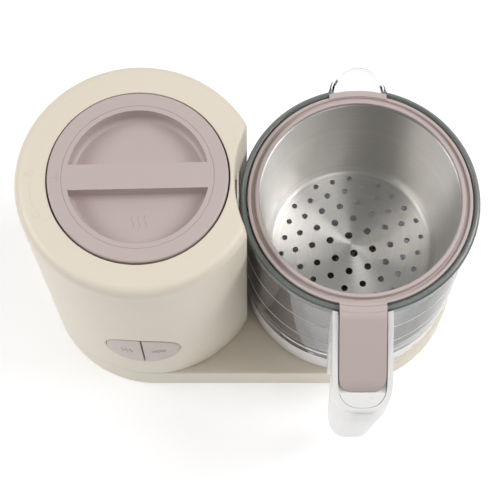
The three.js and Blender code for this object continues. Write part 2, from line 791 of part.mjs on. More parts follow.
add(jug, "jug_glass", jugGlass(), glass);
add(jug, "jug_ring", jugRing(), white);
add(jug, "jug_gasket", ring(34, neckHole, 47.3, 50.1, medium), silicone);
add(jug, "blade_housing", bladeHousing(), blackPlastic);
add(jug, "blade_lock_nut", bladeLockNut(), white);
add(jug, "blade_seal", ring(6.1, bore(bladeSpindleRadius), 50.4, 55.6, small), silicone);
add(jug, "blade_spindle", disc(bladeSpindleRadius, 46.5, 79.4, small), steel);
add(jug, "blade", blades(), steel);
add(jug, "blade_nut", bladeNut(), steel);
add(jug, "jug_coupler", jugCoupler(), blackPlastic);

// ---------------------------------------------------------------- jug handle
const handleSlopeTop = 187.5; // the rails' height at the glass
const handleSlopeEnd = 168.5; // and where the strap ends
const strapEnd = 127; // from the jug's axis
const coverDrop = 3.3; // the cover lies this far below the rails, which leaves room for the strap
const coverThick = 2.6;
const coverWidth = 32.4;
const slopeStart = -84; // where the handle begins to slope down, along Y
const beyondHandle = -145;

// A bar seen from above, from inside the glass to a round-cornered end. It is as tall as the machine.
function barPlan(width, end, corner) {
  const half = width / 2;
  const outline = rounded([[-half, -60], [-half, end, corner], [half, end, corner], [half, -60]]);
  return prism(outline, 0, skyHigh, 6);
}

function jugHandle() {
  const side = rounded([
    [-70, handleSlopeTop + 0.5], [slopeStart, handleSlopeTop + 0.5, 2], [-strapEnd, handleSlopeEnd, 6],
    [-handleReach, 163.5, 7], [-handleReach, 138, 24], [-131, 39, 6], [-112, 39, 5], [-115, 100, 20],
    [-113.5, 150, 16], [-87.5, 158, 14], [-87.5, 60, 10], [slopeStart, 43, 4], [-70, 43],
  ]);
  const half = handleWidth / 2;
  const narrow = half - 3.2;
  const front = rounded([
    [-narrow, 30], [narrow, 30], [half, 130], [half, 200], [-half, 200], [-half, 130],
  ]);
  const taper = prism(front, 0, -beyondHandle).rotateX(Math.PI / 2);
  const body = meet(sidePrism(side, handleWidth), barPlan(handleWidth, -handleReach, 15), taper);
  const beadRoom = disc(beadRadius + gap, glassTop - beadHeight - gap - 1, skyHigh);
  return cut(body, hole(glassRadius + gap), beadRoom, coverPocket());
}

// The sloping pocket between the handle's rails.
function coverPocket() {
  const drop = coverDrop + coverThick;
  const side = rounded([
    [-70, handleSlopeTop - drop], [slopeStart, handleSlopeTop - drop, 3],
    [-strapEnd, handleSlopeEnd - drop, 3], [beyondHandle, 158.5], [beyondHandle, 220], [-70, 220],
  ]);
  return meet(sidePrism(side, coverWidth), coverPlan(0));
}

function coverPlan(inset) {
  return barPlan(coverWidth - 2 * inset, -handleReach + 3.4 + inset, 14);
}

function handleCover() {
  const drop = coverDrop + coverThick - gap;
  const start = -beadRadius - 1;
  const side = rounded([
    [start, handleSlopeTop - drop], [slopeStart, handleSlopeTop - drop, 3],
    [-strapEnd, handleSlopeEnd - drop, 3], [beyondHandle, 158.9], [beyondHandle, 162.2],
    [-strapEnd - 1, handleSlopeEnd - coverDrop, 4],
    [slopeStart, handleSlopeTop - coverDrop, 4], [start, handleSlopeTop - coverDrop],
  ]);
  return meet(sidePrism(side, coverWidth - 2 * gap), coverPlan(gap));
}

add(jug, "jug_handle", jugHandle(), white);
add(jug, "handle_cover", handleCover(), white);

// ---------------------------------------------------------------- steam basket
const holeField = 60; // the grid of holes reaches this far before it is drawn in
const holeSqueeze = 0.11; // the share by which its edge is drawn in

// Steam holes lie on two mirrored halves of a triangular grid, drawn closer together towards the wall,
// and they get smaller towards it.
function steamHoles() {
  const holes = [];
  for (let row = 0; row < 5; row++) {
    for (let step = -4; step <= 4; step++) {
      for (const side of [-1, 1]) {
        const u = (step + (row % 2) / 2) * holePitch;
        const v = side * (0.5 + row * Math.sin(Math.PI / 3)) * holePitch;
        const spread = Math.hypot(u, v) / holeField;
        if (spread > 1) continue;
        const radius = holeField * spread * (1 - holeSqueeze * spread ** 2);
        const angle = Math.atan2(v, u) + holeTurn;
        const size = 2.7 - 0.9 * spread;
        holes.push({ x: radius * Math.cos(angle), y: radius * Math.sin(angle), size });
      }
    }
  }
  return holes;
}

function steamBasket() {
  const thick = 1;
  const topHeight = 190.2;
  const cup = lathe([
    [0, basketFloor], [55, basketFloor], [60.8, basketFloor + 9], [basketRadius, topHeight],
    [basketRadius + thick, topHeight], [61.8, basketFloor + 8.6], [55.4, basketFloor - thick],
    [0, basketFloor - thick],
  ]);
  const drills = steamHoles().map(({ x, y, size }) =>
    disc(size, basketFloor - 5, basketFloor + 5, 5, x, y),
  );
  return cut(cup, ...drills);
}

// The moulded rim: a raised lip, a groove for the jug lid's seal and an outer ridge, with a tab across
// the spout.
function basketRing() {
  const profile = [
    [basketRadius, 190.6], [basketRadius, 192.8], [basketRadius + 0.7, 193.5], [71.4, 193.5],
    [72, 192.9], [72, 190], [73, 190], [73, 191.2], [74.6, 191.2], [75.2, 190.6],
    [75.2, 178], [74, 176], [69.3, 176], [69.3, 190.6],
  ];
  const tab = meet(ring(77.6, 71.5, glassTop + gap, 193.1), block([-19.5, 19.5], [60, 90], [0, skyHigh]));
  return join(lathe(profile), tab);
}

// The strap runs over the glass rim and down the slope of the jug's handle.
function basketHandle() {
  const low = handleSlopeEnd - coverDrop;
  const side = rounded([
    [-73.4, 191.5], [-83.5, 191.5, 1], [-87.5, handleSlopeTop - coverDrop + 0.4, 2],
    [-strapEnd, low + 0.9], [-strapEnd, low + 1.7, 0.5], [-strapEnd + 3.5, low + 5.3, 3],
    [-82.5, 193.8, 4], [-73.4, 193.8, 0.8],
  ]);
  const body = meet(sidePrism(side, strapWidth), barPlan(strapWidth, -strapEnd, 8));
  return cut(body, disc(75.2 + gap, 0, 191.3 + gap), hole(72 + gap));
}

add(jug, "steam_basket", steamBasket(), steel);
add(jug, "basket_ring", basketRing(), mauve);
add(jug, "basket_handle", basketHandle(), mauve);

export default machine;
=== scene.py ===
# How the baby food maker looks: finely rounded pieces and their materials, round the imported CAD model.
# Shapes are worked out in millimetres about the boiler column's axis or the jug's, and stored in metres.
import json
import math

import bmesh
import bpy
from mathutils import Matrix, Vector


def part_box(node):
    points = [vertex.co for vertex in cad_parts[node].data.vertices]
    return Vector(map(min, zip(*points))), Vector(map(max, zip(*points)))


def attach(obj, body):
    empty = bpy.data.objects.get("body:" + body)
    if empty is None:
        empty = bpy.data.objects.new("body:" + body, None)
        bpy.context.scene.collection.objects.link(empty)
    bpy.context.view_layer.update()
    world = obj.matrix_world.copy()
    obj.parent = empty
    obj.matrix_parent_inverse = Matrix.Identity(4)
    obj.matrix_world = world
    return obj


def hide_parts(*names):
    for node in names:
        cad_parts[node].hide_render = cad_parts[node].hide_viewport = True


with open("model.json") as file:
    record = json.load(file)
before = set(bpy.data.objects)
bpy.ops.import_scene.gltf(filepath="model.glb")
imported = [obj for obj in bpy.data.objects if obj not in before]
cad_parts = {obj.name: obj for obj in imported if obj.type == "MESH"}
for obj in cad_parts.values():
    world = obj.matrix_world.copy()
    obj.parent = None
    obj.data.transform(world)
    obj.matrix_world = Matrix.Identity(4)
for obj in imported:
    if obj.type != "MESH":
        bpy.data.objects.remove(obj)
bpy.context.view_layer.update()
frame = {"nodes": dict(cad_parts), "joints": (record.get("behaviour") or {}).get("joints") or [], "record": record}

MM = 0.001
TURN = 2 * math.pi


# -------------------------------- places and sizes from the frame
def joint_place(name):
    """The point that a joint turns about, in millimetres."""
    joint = next(j for j in frame["joints"] if j["name"] == name)
    return Vector(joint["pos_m"]) / MM


def low(node):
    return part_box(node)[0] / MM


def high(node):
    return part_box(node)[1] / MM


COLUMN = joint_place("lid_twist")
JUG = joint_place("drive_spin")
AXIS_SPACING = JUG.x - COLUMN.x

BODY_RADIUS = high("base_housing").x - JUG.x
BASE_BOTTOM = low("base_housing").z
BASE_TOP = 33.0
PLINTH_TOP = high("base_housing").z
COLUMN_FOOT = low("column_shell").z
COLUMN_TOP = high("column_shell").z
SHOULDER = 7.0
WALL = 2.5
SCALLOP_RADIUS = 83.5
LID_OPENING = 59.6

LID_RADIUS = high("lid_cap").x - COLUMN.x
LID_TOP = high("lid_cap").z
LID_SKIRT = low("lid_cap").z
GRIP_RADIUS = high("lid_grip").x - COLUMN.x
WELL_RADIUS = 46.0
WELL_FLOOR = 217.5
WELL_FILLET = 3.5
BAR_WIDTH = 17.6
MARK_LIFT = 0.02  # how far drawn marks stand off their surface

PANEL_HEIGHT = (low("steam_button").z + high("steam_button").z) / 2
PANEL_RADIUS = 26.6
PANEL_TURN = math.radians(-2.8)
PANEL_EDGE_DEPTH = 1.1
PANEL_EDGE_WIDTH = 2.2
BUTTON_FACE = 80.7
BUTTON_BACK = 70.3
BUTTON_GAP = 0.45

GLASS_TOP = high("jug_glass").z
RIM_DEPTH = 12.0  # of the thick band round the glass's top
GLASS_BOTTOM = low("jug_glass").z
BEAD_RADIUS = high("jug_glass").x - JUG.x
BEAD_PITCH = 39.4
BEADS = 2
RING_TOP = high("jug_ring").z
RING_BOTTOM = low("jug_ring").z
RING_RADIUS = high("jug_ring").x - JUG.x
SPOUT_REACH = high("jug_glass").y - JUG.y

BASKET_FLOOR = low("steam_basket").z + 1
BASKET_TOP = high("steam_basket").z
BASKET_RADIUS = 67.9
HANDLE_WIDTH = high("jug_handle").x - low("jug_handle").x
HANDLE_REACH = JUG.y - low("jug_handle").y
STRAP_WIDTH = high("basket_handle").x - low("basket_handle").x
STRAP_END = JUG.y - low("basket_handle").y


# -------------------------------- outlines
def rounded(corners, steps=6, closed=False):
    """A path through (x, y, radius) corners, each rounded by its radius, or by less on a short edge."""
    points = []
    last = len(corners) - 1
    for i, (x, y, *rest) in enumerate(corners):
        radius = rest[0] if rest else 0
        here = Vector((x, y))
        if radius == 0 or (not closed and i in (0, last)):
            points.append(here)
            continue
        ends = []
        for other in (corners[i - 1], corners[(i + 1) % len(corners)]):
            edge = Vector(other[:2]) - here
            ends.append(here + edge.normalized() * min(radius, edge.length / 2))
        for k in range(steps + 1):
            t = k / steps
            points.append(ends[0] * (1 - t) ** 2 + here * 2 * t * (1 - t) + ends[1] * t * t)
    return points


def smooth_min(a, b, reach):
    near = max(reach - abs(a - b), 0) / reach
    return min(a, b) - near * near * reach / 4


def smooth_max(a, b, reach):
    return -smooth_min(-a, -b, reach)


def spaced(stops):
    """Numbers from the first stop to the last. Each stop is its value and the step that follows it."""
    values = []
    for (start, step), (end, _) in zip(stops, stops[1:]):
        count = max(1, round((end - start) / step))
        values += [start + (end - start) * i / count for i in range(count)]
    return values + [stops[-1][0]]


def whole_turn(count):
    return [TURN * i / count for i in range(count)]


def quarter_turn(steps):
    """The bends of a rounded edge, from nothing to a right angle."""
    return [i / steps * math.pi / 2 for i in range(steps + 1)]


def polar_place(radius, angle, height):
    return (radius * math.cos(angle), radius * math.sin(angle), height)


# -------------------------------- meshes
def new_object(name, points, faces):
    mesh = bpy.data.meshes.new(name)
    mesh.from_pydata([tuple(Vector(p) * MM) for p in points], [], faces)
    bm = bmesh.new()
    bm.from_mesh(mesh)
    bmesh.ops.remove_doubles(bm, verts=bm.verts, dist=1e-6)
    bmesh.ops.dissolve_degenerate(bm, edges=bm.edges, dist=1e-7)
    bmesh.ops.recalc_face_normals(bm, faces=bm.faces)
    bm.to_mesh(mesh)
    bm.free()
    made = bpy.data.objects.new(name, mesh)
    bpy.context.scene.collection.objects.link(made)
    return made


def move(piece, x=0.0, y=0.0, z=0.0, turn=0.0):
    """Turns the piece about Z and shifts it, in millimetres."""
    shift = Matrix.Translation(Vector((x, y, z)) * MM)
    piece.data.transform(shift @ Matrix.Rotation(turn, 4, "Z"))
    return piece


def loft(name, rings, closed=False, caps=False):
    """A surface through rings of points. Every ring has as many points, and each joins to the next."""
    count = len(rings[0])
    points = [p for ring in rings for p in ring]
    pairs = [(i, i + 1) for i in range(len(rings) - 1)]
    if closed:
        pairs.append((len(rings) - 1, 0))
    faces = []
    for a, b in pairs:
        for i in range(count):
            j = (i + 1) % count
            faces.append((a * count + i, a * count + j, b * count + j, b * count + i))
    if caps:
        faces.append(tuple(range(count)))
        faces.append(tuple(range(len(points) - count, len(points))))
    return new_object(name, points, faces)


def polar_ring(angles, radius, height):
    """One ring about Z. Radius and height are numbers, or functions of the angle."""
    ring = []
    for angle in angles:
        r = radius(angle) if callable(radius) else radius
        z = height(angle) if callable(height) else height
        ring.append(polar_place(r, angle, z))
    return ring


def turned(name, profile, sides=128):
    """A body of revolution about Z. Its profile ends on the axis, or closes on itself."""
    on_axis = profile[0][0] == 0 and profile[-1][0] == 0
    angles = whole_turn(sides)
    return loft(name, [polar_ring(angles, r, z) for r, z in profile], closed=not on_axis)


def prism(name, outline, bottom, top):
    rings = [[(x, y, z) for x, y in outline] for z in (bottom, top)]
    return loft(name, rings, caps=True)


def side_prism(name, outline, width):
    """An outline drawn in (y, z), made width wide along X."""
    rings = [[(x, y, z) for y, z in outline] for x in (-width / 2, width / 2)]
    return loft(name, rings, caps=True)


def disc_cutter(radius, bottom, top, sides=96):
    return turned("cutter", [(0, bottom), (radius, bottom), (radius, top), (0, top)], sides)


def box_cutter(x, y, z):
    return prism("cutter", [(x[0], y[0]), (x[1], y[0]), (x[1], y[1]), (x[0], y[1])], *z)


def settle(piece):
    """Makes the piece's modifiers part of its mesh."""
    shown = piece.evaluated_get(bpy.context.evaluated_depsgraph_get())
    mesh = bpy.data.meshes.new_from_object(shown)
    piece.modifiers.clear()
    piece.data = mesh


def combine(piece, operation, *tools):
    for tool in tools:
        step = piece.modifiers.new("combine", "BOOLEAN")
        step.operation = operation
        step.solver = "EXACT"
        step.object = tool
    bpy.context.view_layer.update()
    settle(piece)
    for tool in tools:
        bpy.data.objects.remove(tool)
    return piece


def cut(piece, *tools):
    return combine(piece, "DIFFERENCE", *tools)


def join(piece, *tools):
    return combine(piece, "UNION", *tools)


def meet(piece, *tools):
    return combine(piece, "INTERSECT", *tools)


def wire(name, paths, radius):
    """Thin round beads along paths of points."""
    curve = bpy.data.curves.new(name, "CURVE")
    curve.dimensions = "3D"
    curve.bevel_depth = radius * MM
    curve.bevel_resolution = 3
    curve.use_fill_caps = True
    for path in paths:
        spline = curve.splines.new("POLY")
        spline.points.add(len(path) - 1)
        for point, place in zip(spline.points, path):
            point.co = (*(Vector(place) * MM), 1)
    source = bpy.data.objects.new(name, curve)
    bpy.context.scene.collection.objects.link(source)
    bpy.context.view_layer.update()
    shown = source.evaluated_get(bpy.context.evaluated_depsgraph_get())
    made = bpy.data.objects.new(name, bpy.data.meshes.new_from_object(shown))
    bpy.data.objects.remove(source)
    made.name = name  # the source held this name until now
    bpy.context.scene.collection.objects.link(made)
    return made


def shade(piece, bevel=0.0, angle=35):
    """Smooth shading with crisp edges, and rounded edges where a bevel is asked for."""
    piece.data.shade_smooth()
    if bevel:
        edge = piece.modifiers.new("edge", "BEVEL")
        edge.width = bevel * MM
        edge.segments = 3
        edge.limit_method = "ANGLE"
        edge.angle_limit = math.radians(angle)
        edge.harden_normals = True
    else:
        piece.data.set_sharp_from_angle(angle=math.radians(angle))
    weight = piece.modifiers.new("weight", "WEIGHTED_NORMAL")
    weight.keep_sharp = True


def place(piece, axis, body, look, replaces=(), bevel=0.0, turn=0.0):
    """Puts a finished piece at its axis, on its body, with its material."""
    move(piece, axis.x, axis.y, 0, turn)
    shade(piece, bevel)
    piece.data.materials.clear()
    piece.data.materials.append(LOOKS[look])
    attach(piece, body)
    if replaces:
        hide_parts(*replaces)
    return piece


# -------------------------------- materials
def linear(*srgb):
    """A colour given 0 to 255, as the linear numbers that shaders use."""
    return tuple((c / 255 / 12.92) if c < 11 else ((c / 255 + 0.055) / 1.055) ** 2.4 for c in srgb)


def shaded(color, share):
    return tuple(c * share for c in color)


class Look:
    """A material under construction: one principled shader and the nodes that feed it."""

    def __init__(self, name, roughness, metallic=0.0, ior=1.46):
        self.material = bpy.data.materials.new(name)
        self.material.use_nodes = True
        self.tree = self.material.node_tree
        self.shader = self.tree.nodes["Principled BSDF"]
        self.set("Roughness", roughness)
        self.set("Metallic", metallic)
        self.set("IOR", ior)
        self.place = self.node("TexCoord").outputs["Object"]

    def node(self, kind, values=None):
        """A new node, with the values given for its inputs."""
        node = self.tree.nodes.new("ShaderNode" + kind)
        for socket, value in (values or {}).items():
            node.inputs[socket].default_value = value
        return node

    def calculate(self, kind, operation, *inputs):
        """A new Math or VectorMath node. Each input is a fixed vector or a node's output."""
        node = self.node(kind)
        node.operation = operation
        for value, socket in zip(inputs, node.inputs):
            if isinstance(value, tuple):
                socket.default_value = value
            else:
                self.link(value, socket)
        return node

    def set(self, socket, value):
        self.shader.inputs[socket].default_value = value

    def link(self, output, target):
        self.tree.links.new(output, target)

    def feed(self, socket, output):
        self.link(output, self.shader.inputs[socket])

    def noise(self, scale, detail=3.0, place=None):
        node = self.node("TexNoise", {"Scale": scale, "Detail": detail})
        self.link(place or self.place, node.inputs["Vector"])
        return node.outputs["Fac"]

    def ramp(self, value, low_to, high_to):
        """Maps the middle of a noise to the range given, and returns the output."""
        limits = {"From Min": 0.3, "From Max": 0.7, "To Min": low_to, "To Max": high_to}
        node = self.node("MapRange", limits)
        self.link(value, node.inputs["Value"])
        return node.outputs["Result"]

    def step(self, value, start, end):
        """0 before the start and 1 past the end, with a smooth change between."""
        node = self.node("MapRange", {"From Min": start, "From Max": end})
        node.interpolation_type = "SMOOTHSTEP"
        self.link(value, node.inputs["Value"])
        return node.outputs["Result"]

    def between(self, value, first, second):
        """Goes from the first number to the second as the value goes from 0 to 1."""
        node = self.node("MapRange", {"To Min": first, "To Max": second})
        self.link(value, node.inputs["Value"])
        return node.outputs["Result"]

    def blend(self, value, first, second):
        """Goes from the first colour to the second, each a fixed colour or a node's output."""
        node = self.node("Mix")
        node.data_type = "RGBA"
        for color, socket in zip((first, second), [s for s in node.inputs if s.type == "RGBA"]):
            if isinstance(color, tuple):
                socket.default_value = (*color, 1)
            else:
                self.link(color, socket)
        self.link(value, node.inputs["Factor"])
        return [s for s in node.outputs if s.type == "RGBA"][0]

    def times(self, first, second):
        return self.calculate("Math", "MULTIPLY", first, second).outputs[0]

    def faces_in(self, axis):
        """1 where the surface faces up or towards an upright axis, and 0 elsewhere."""
        inward = self.calculate("VectorMath", "SUBTRACT", (axis.x * MM, axis.y * MM, 1), self.place)
        normal = self.node("NewGeometry").outputs["Normal"]
        dot = self.calculate("VectorMath", "DOT_PRODUCT", inward.outputs[0], normal)
        return self.step(dot.outputs["Value"], -0.005, 0.005)

    def bump(self, value, strength, depth):
        node = self.node("Bump", {"Strength": strength, "Distance": depth * MM})
        self.link(value, node.inputs["Height"])
        self.feed("Normal", node.outputs["Normal"])

    def split(self, vector):
        node = self.node("SeparateXYZ")
        self.link(vector, node.inputs[0])
        return node.outputs

    def about(self, axis):
        """Coordinates that change only with the distance from an upright axis and with height."""
        shift = self.calculate("VectorMath", "SUBTRACT", self.place, (axis.x * MM, axis.y * MM, 0))
        parts = self.split(shift.outputs[0])
        flat = self.node("CombineXYZ")
        self.link(parts["X"], flat.inputs["X"])
        self.link(parts["Y"], flat.inputs["Y"])
        length = self.calculate("VectorMath", "LENGTH", flat.outputs[0])
        joined = self.node("CombineXYZ")
        self.link(length.outputs["Value"], joined.inputs["X"])
        self.link(parts["Z"], joined.inputs["Z"])
        return joined.outputs[0]


def plastic(name, color, roughness, grain=0.25, drift=0.03, coat=0.3):
    """Moulded plastic: a fine grain, slow changes of tone, and a roughness that wanders a little."""
    look = Look(name, roughness, ior=1.5)
    look.set("Coat Weight", coat)
    look.set("Coat Roughness", 0.35)
    darker = shaded(color, 1 - drift)
    lighter = tuple(min(1, c) for c in shaded(color, 1 + drift))
    look.feed("Base Color", look.blend(look.noise(11), darker, lighter))
    look.feed("Roughness", look.ramp(look.noise(70), roughness - 0.05, roughness + 0.05))
    look.bump(look.noise(2600, 2), grain, 0.05)
    return look.material


def cast_metal(name, color, roughness):
    look = Look(name, roughness, metallic=1.0)
    grain = look.noise(900, 4)
    look.feed("Base Color", look.blend(grain, shaded(color, 0.9), color))
    look.feed("Roughness", look.ramp(grain, roughness - 0.08, roughness + 0.08))
    look.bump(grain, 0.5, 0.02)
    return look.material


def brushed_steel(name, color, axis, brushed, polished):
    """Brushed in circles on faces that look up or towards the axis, and polished on the others."""
    look = Look(name, brushed, metallic=1.0)
    look.set("Anisotropic", 0.95)
    look.set("Anisotropic Rotation", 0.25)
    tangent = look.node("Tangent")
    tangent.direction_type = "RADIAL"
    tangent.axis = "Z"
    look.feed("Tangent", tangent.outputs[0])
    inside = look.faces_in(axis)
    grain = look.ramp(look.noise(1100, 5, look.about(axis)), 0, 1)
    lines = look.times(inside, grain)
    look.feed("Base Color", look.blend(lines, shaded(color, 0.87), color))
    look.feed("Roughness", look.between(inside, polished, brushed))
    look.bump(lines, 0.4, 0.02)
    return look.material


def clear_glass(name):
    """Pressed glass: nearly colourless, but grey-green and a little cloudy where the rim is thick, with painted
    glints and dark lines in light and dark rings there.
    """
    look = Look(name, 0.02, ior=1.4)
    parts = look.split(look.place)
    rim_bottom = GLASS_TOP - RIM_DEPTH
    height = look.step(parts["Z"], (rim_bottom - 1) * MM, (rim_bottom + 3) * MM)
    beside_spout = look.step(parts["Y"], (JUG.y + 80) * MM, (JUG.y + 77) * MM)
    rim = look.times(height, beside_spout)
    # Painted glints and dark lines: fine light and dark rings round the rim, mixed into its grey-green, which is
    # the thick glass's own tint.
    rings = look.ramp(look.noise(450, 2, look.about(JUG)), 0, 1)
    rim_tint_and_glints = look.blend(rings, (0.09, 0.11, 0.1), (0.4, 0.43, 0.41))
    look.feed("Base Color", look.blend(rim, (0.94, 0.93, 0.955), rim_tint_and_glints))
    look.feed("Roughness", look.between(rim, 0.02, 0.12))
    look.feed("Transmission Weight", look.between(rim, 1.0, 0.45))
    return look.material


def highlight_line_glass(name):
    """Near-white, nearly opaque glass: a painted highlight for the fine light lines along the glass's ridges."""
    look = Look(name, 0.3, ior=1.4)
    look.set("Transmission Weight", 0.15)
    look.feed("Base Color", look.blend(look.noise(90), linear(248, 248, 246), linear(255, 255, 254)))
    return look.material


def rubbery(name, color, roughness, soft=0.0):
    look = Look(name, roughness, ior=1.42)
    look.set("Subsurface Weight", soft)
    look.set("Subsurface Scale", 0.002)
    look.feed("Base Color", look.blend(look.noise(160), shaded(color, 0.9), color))
    look.bump(look.noise(1400, 3), 0.3, 0.08)
    return look.material


def winding(name):
    """Varnished copper wire, wound in fine upright turns."""
    look = Look(name, 0.35, metallic=1.0)
    wave = look.node("TexWave", {"Scale": 420, "Distortion": 0.6})
    look.link(look.place, wave.inputs["Vector"])
    look.feed("Base Color", look.blend(wave.outputs["Fac"], linear(120, 62, 32), linear(196, 118, 72)))
    look.bump(wave.outputs["Fac"], 0.8, 0.3)
    return look.material


LOOKS = {
    "cream_plastic": plastic("cream_plastic", linear(227, 217, 200), 0.48),
    "mauve_plastic": plastic("mauve_plastic", linear(193, 178, 174), 0.46),
    "white_plastic": plastic("white_plastic", linear(241, 240, 239), 0.32, grain=0.1, drift=0.01),
    "button_plastic": plastic("button_plastic", linear(196, 184, 176), 0.42),
    "jug_glass": clear_glass("jug_glass"),
    "stainless_steel": brushed_steel("stainless_steel", linear(233, 231, 227), JUG, 0.38, 0.1),
    "cast_aluminium": cast_metal("cast_aluminium", linear(178, 178, 180), 0.5),
    "copper_winding": winding("copper_winding"),
    "black_rubber": rubbery("black_rubber", linear(52, 50, 49), 0.8),
    "silicone": rubbery("silicone", linear(226, 224, 220), 0.5, soft=0.3),
    "black_plastic": plastic("black_plastic", linear(42, 41, 42), 0.45, grain=0.5),
    "circuit_board": plastic("circuit_board", linear(38, 96, 66), 0.35),
}
MARK_LOOK = plastic("engraved_mark", linear(160, 149, 139), 0.6)
# Painted highlights: the near-white glass of the jug's fine raised lines.
HIGHLIGHT_LINE_LOOK = highlight_line_glass("highlight_line_glass")
# Painted shade: a darker steel for the blades, so the steam holes above them look as dark as the shade under the
# basket.
BLADE_SHADE_LOOK = cast_metal("painted_shade_steel", linear(112, 110, 108), 0.3)
BLADE_PARTS = ("blade", "blade_nut", "blade_spindle")


# -------------------------------- base
BASE_MIDDLE = Vector((0, JUG.y, 0))
PLINTH_RADIUS = 50.0
COLUMN_OPENING = 50.0
BEARING_HOLE = 11.3
GLAND_HOLE = 6.3
CORD_HOLE = 3.7


def stadium(radius, steps=48):
    """The outline round both axes."""
    half = AXIS_SPACING / 2
    right = [-math.pi / 2 + math.pi * i / steps for i in range(steps + 1)]
    points = [(half + radius * math.cos(a), radius * math.sin(a)) for a in right]
    return points + [(-x, -y) for x, y in points]


def make_base():
    skirt = rounded([
        (BODY_RADIUS - WALL, BASE_BOTTOM), (BODY_RADIUS, BASE_BOTTOM, 1.2), (BODY_RADIUS, BASE_TOP, 1.8),
        (BODY_RADIUS - 6, BASE_TOP),
    ])
    inside = [(BODY_RADIUS - 6, BASE_TOP - WALL), (BODY_RADIUS - WALL, BASE_TOP - WALL)]
    shell = loft("base", [[(x, y, z) for x, y in stadium(r)] for r, z in skirt + inside], closed=True)
    deck = prism("deck", stadium(BODY_RADIUS - 5), BASE_TOP - WALL, BASE_TOP)
    middle = AXIS_SPACING / 2
    plinth = turned("plinth", rounded([
        (PLINTH_RADIUS - 5, BASE_TOP - 1), (PLINTH_RADIUS - 5, PLINTH_TOP, 1),
        (PLINTH_RADIUS, PLINTH_TOP, 1), (PLINTH_RADIUS, BASE_TOP, 0.8), (PLINTH_RADIUS + 1, BASE_TOP - 1),
    ]))
    seat = [(BEARING_HOLE, 27), (15, 27), (15, 35.6), (14.6, 36), (BEARING_HOLE, 36)]
    join(shell, deck, move(plinth, middle), move(turned("seat", seat, 64), middle))
    under_column = move(disc_cutter(COLUMN_OPENING, 20, 40), -middle)
    bearing = move(disc_cutter(BEARING_HOLE, 20, 40, 64), middle)
    cut(shell, under_column, bearing)
    gland = (low("cord_gland") + high("cord_gland")) / 2
    hole = disc_cutter(GLAND_HOLE, -8, 8, 48)
    hole.data.transform(Matrix.Rotation(math.pi / 2, 4, "X"))
    cut(shell, move(hole, gland.x, BODY_RADIUS, gland.z))
    place(shell, BASE_MIDDLE, "root", "cream_plastic", ["base_housing"])


def make_gland():
    """The rubber gland in the back wall, where a cord would come in."""
    lowest, highest = low("cord_gland"), high("cord_gland")
    flange = (highest.x - lowest.x) / 2
    inner, outer = lowest.y - JUG.y, highest.y - JUG.y
    neck = GLAND_HOLE - 0.3
    sleeve = [
        (CORD_HOLE, inner), (flange - 0.7, inner, 0.5), (flange - 0.7, BODY_RADIUS - WALL - 0.3, 0.5),
        (neck, BODY_RADIUS - WALL - 0.3), (neck, BODY_RADIUS + 0.3), (flange, BODY_RADIUS + 0.3, 0.6),
        (flange, outer, 1.2), (CORD_HOLE, outer, 0.8),
    ]
    gland = turned("cord_sleeve", rounded(sleeve, closed=True), 64)
    gland.data.transform(Matrix.Rotation(-math.pi / 2, 4, "X"))
    middle = (lowest + highest) / 2
    move(gland, middle.x, 0, middle.z)
    place(gland, BASE_MIDDLE, "root", "black_rubber", ["cord_gland"])


# -------------------------------- column
SCALLOP_EDGE = 0.17  # how much of the shoulder's rounding the hollow's top edge gets
CORNER_BLEND = 5.0
LID_WELL_DEPTH = 11.0


def column_radius(angle, inset):
    """How far the wall is from the column's axis: the round wall, or the hollow that the jug nests in."""
    round_wall = BODY_RADIUS - inset
    reach = SCALLOP_RADIUS + inset * SCALLOP_EDGE
    sideways = AXIS_SPACING * math.sin(angle)
    if abs(sideways) >= reach or math.cos(angle) < 0:
        return round_wall
    hollow = AXIS_SPACING * math.cos(angle) - math.sqrt(reach ** 2 - sideways ** 2)
    return smooth_min(round_wall, hollow, CORNER_BLEND)


def column_angles():
    front = math.degrees(PANEL_TURN) - 90
    stops = [
        (-180, 3), (front - 24, 0.8), (front + 24, 3), (-36, 0.8), (-18, 3), (18, 0.8), (36, 3), (180, 3),
    ]
    return [math.radians(a) for a in spaced(stops)[:-1]]


def panel_dip(angle, height):
    """How far the wall is drawn in beside the buttons, which rounds the edge of their opening."""
    across = (angle + math.pi / 2 - PANEL_TURN) * BODY_RADIUS
    beyond = math.hypot(across, height - PANEL_HEIGHT) - PANEL_RADIUS
    if abs(across) > PANEL_RADIUS + PANEL_EDGE_WIDTH or beyond > PANEL_EDGE_WIDTH:
        return 0
    left = 1 - max(beyond, 0) / PANEL_EDGE_WIDTH
    return PANEL_EDGE_DEPTH * (1 - math.sqrt(1 - left * left))


def column_wall(angles):
    """Rings up the outside of the column and over its shoulder."""
    rings = [polar_ring(angles, lambda a: column_radius(a, 0) - 0.5, COLUMN_FOOT)]
    band = PANEL_RADIUS + 4
    heights = spaced([
        (COLUMN_FOOT + 0.5, 6), (PANEL_HEIGHT - band, 1), (PANEL_HEIGHT + band, 6),
        (COLUMN_TOP - SHOULDER, 6),
    ])
    for z in heights:
        rings.append(polar_ring(angles, lambda a, z=z: column_radius(a, 0) - panel_dip(a, z), z))
    for bend in quarter_turn(9)[1:]:
        inset = SHOULDER * (1 - math.cos(bend))
        z = COLUMN_TOP - SHOULDER * (1 - math.sin(bend))
        rings.append(polar_ring(angles, lambda a, d=inset: column_radius(a, d), z))
    return rings


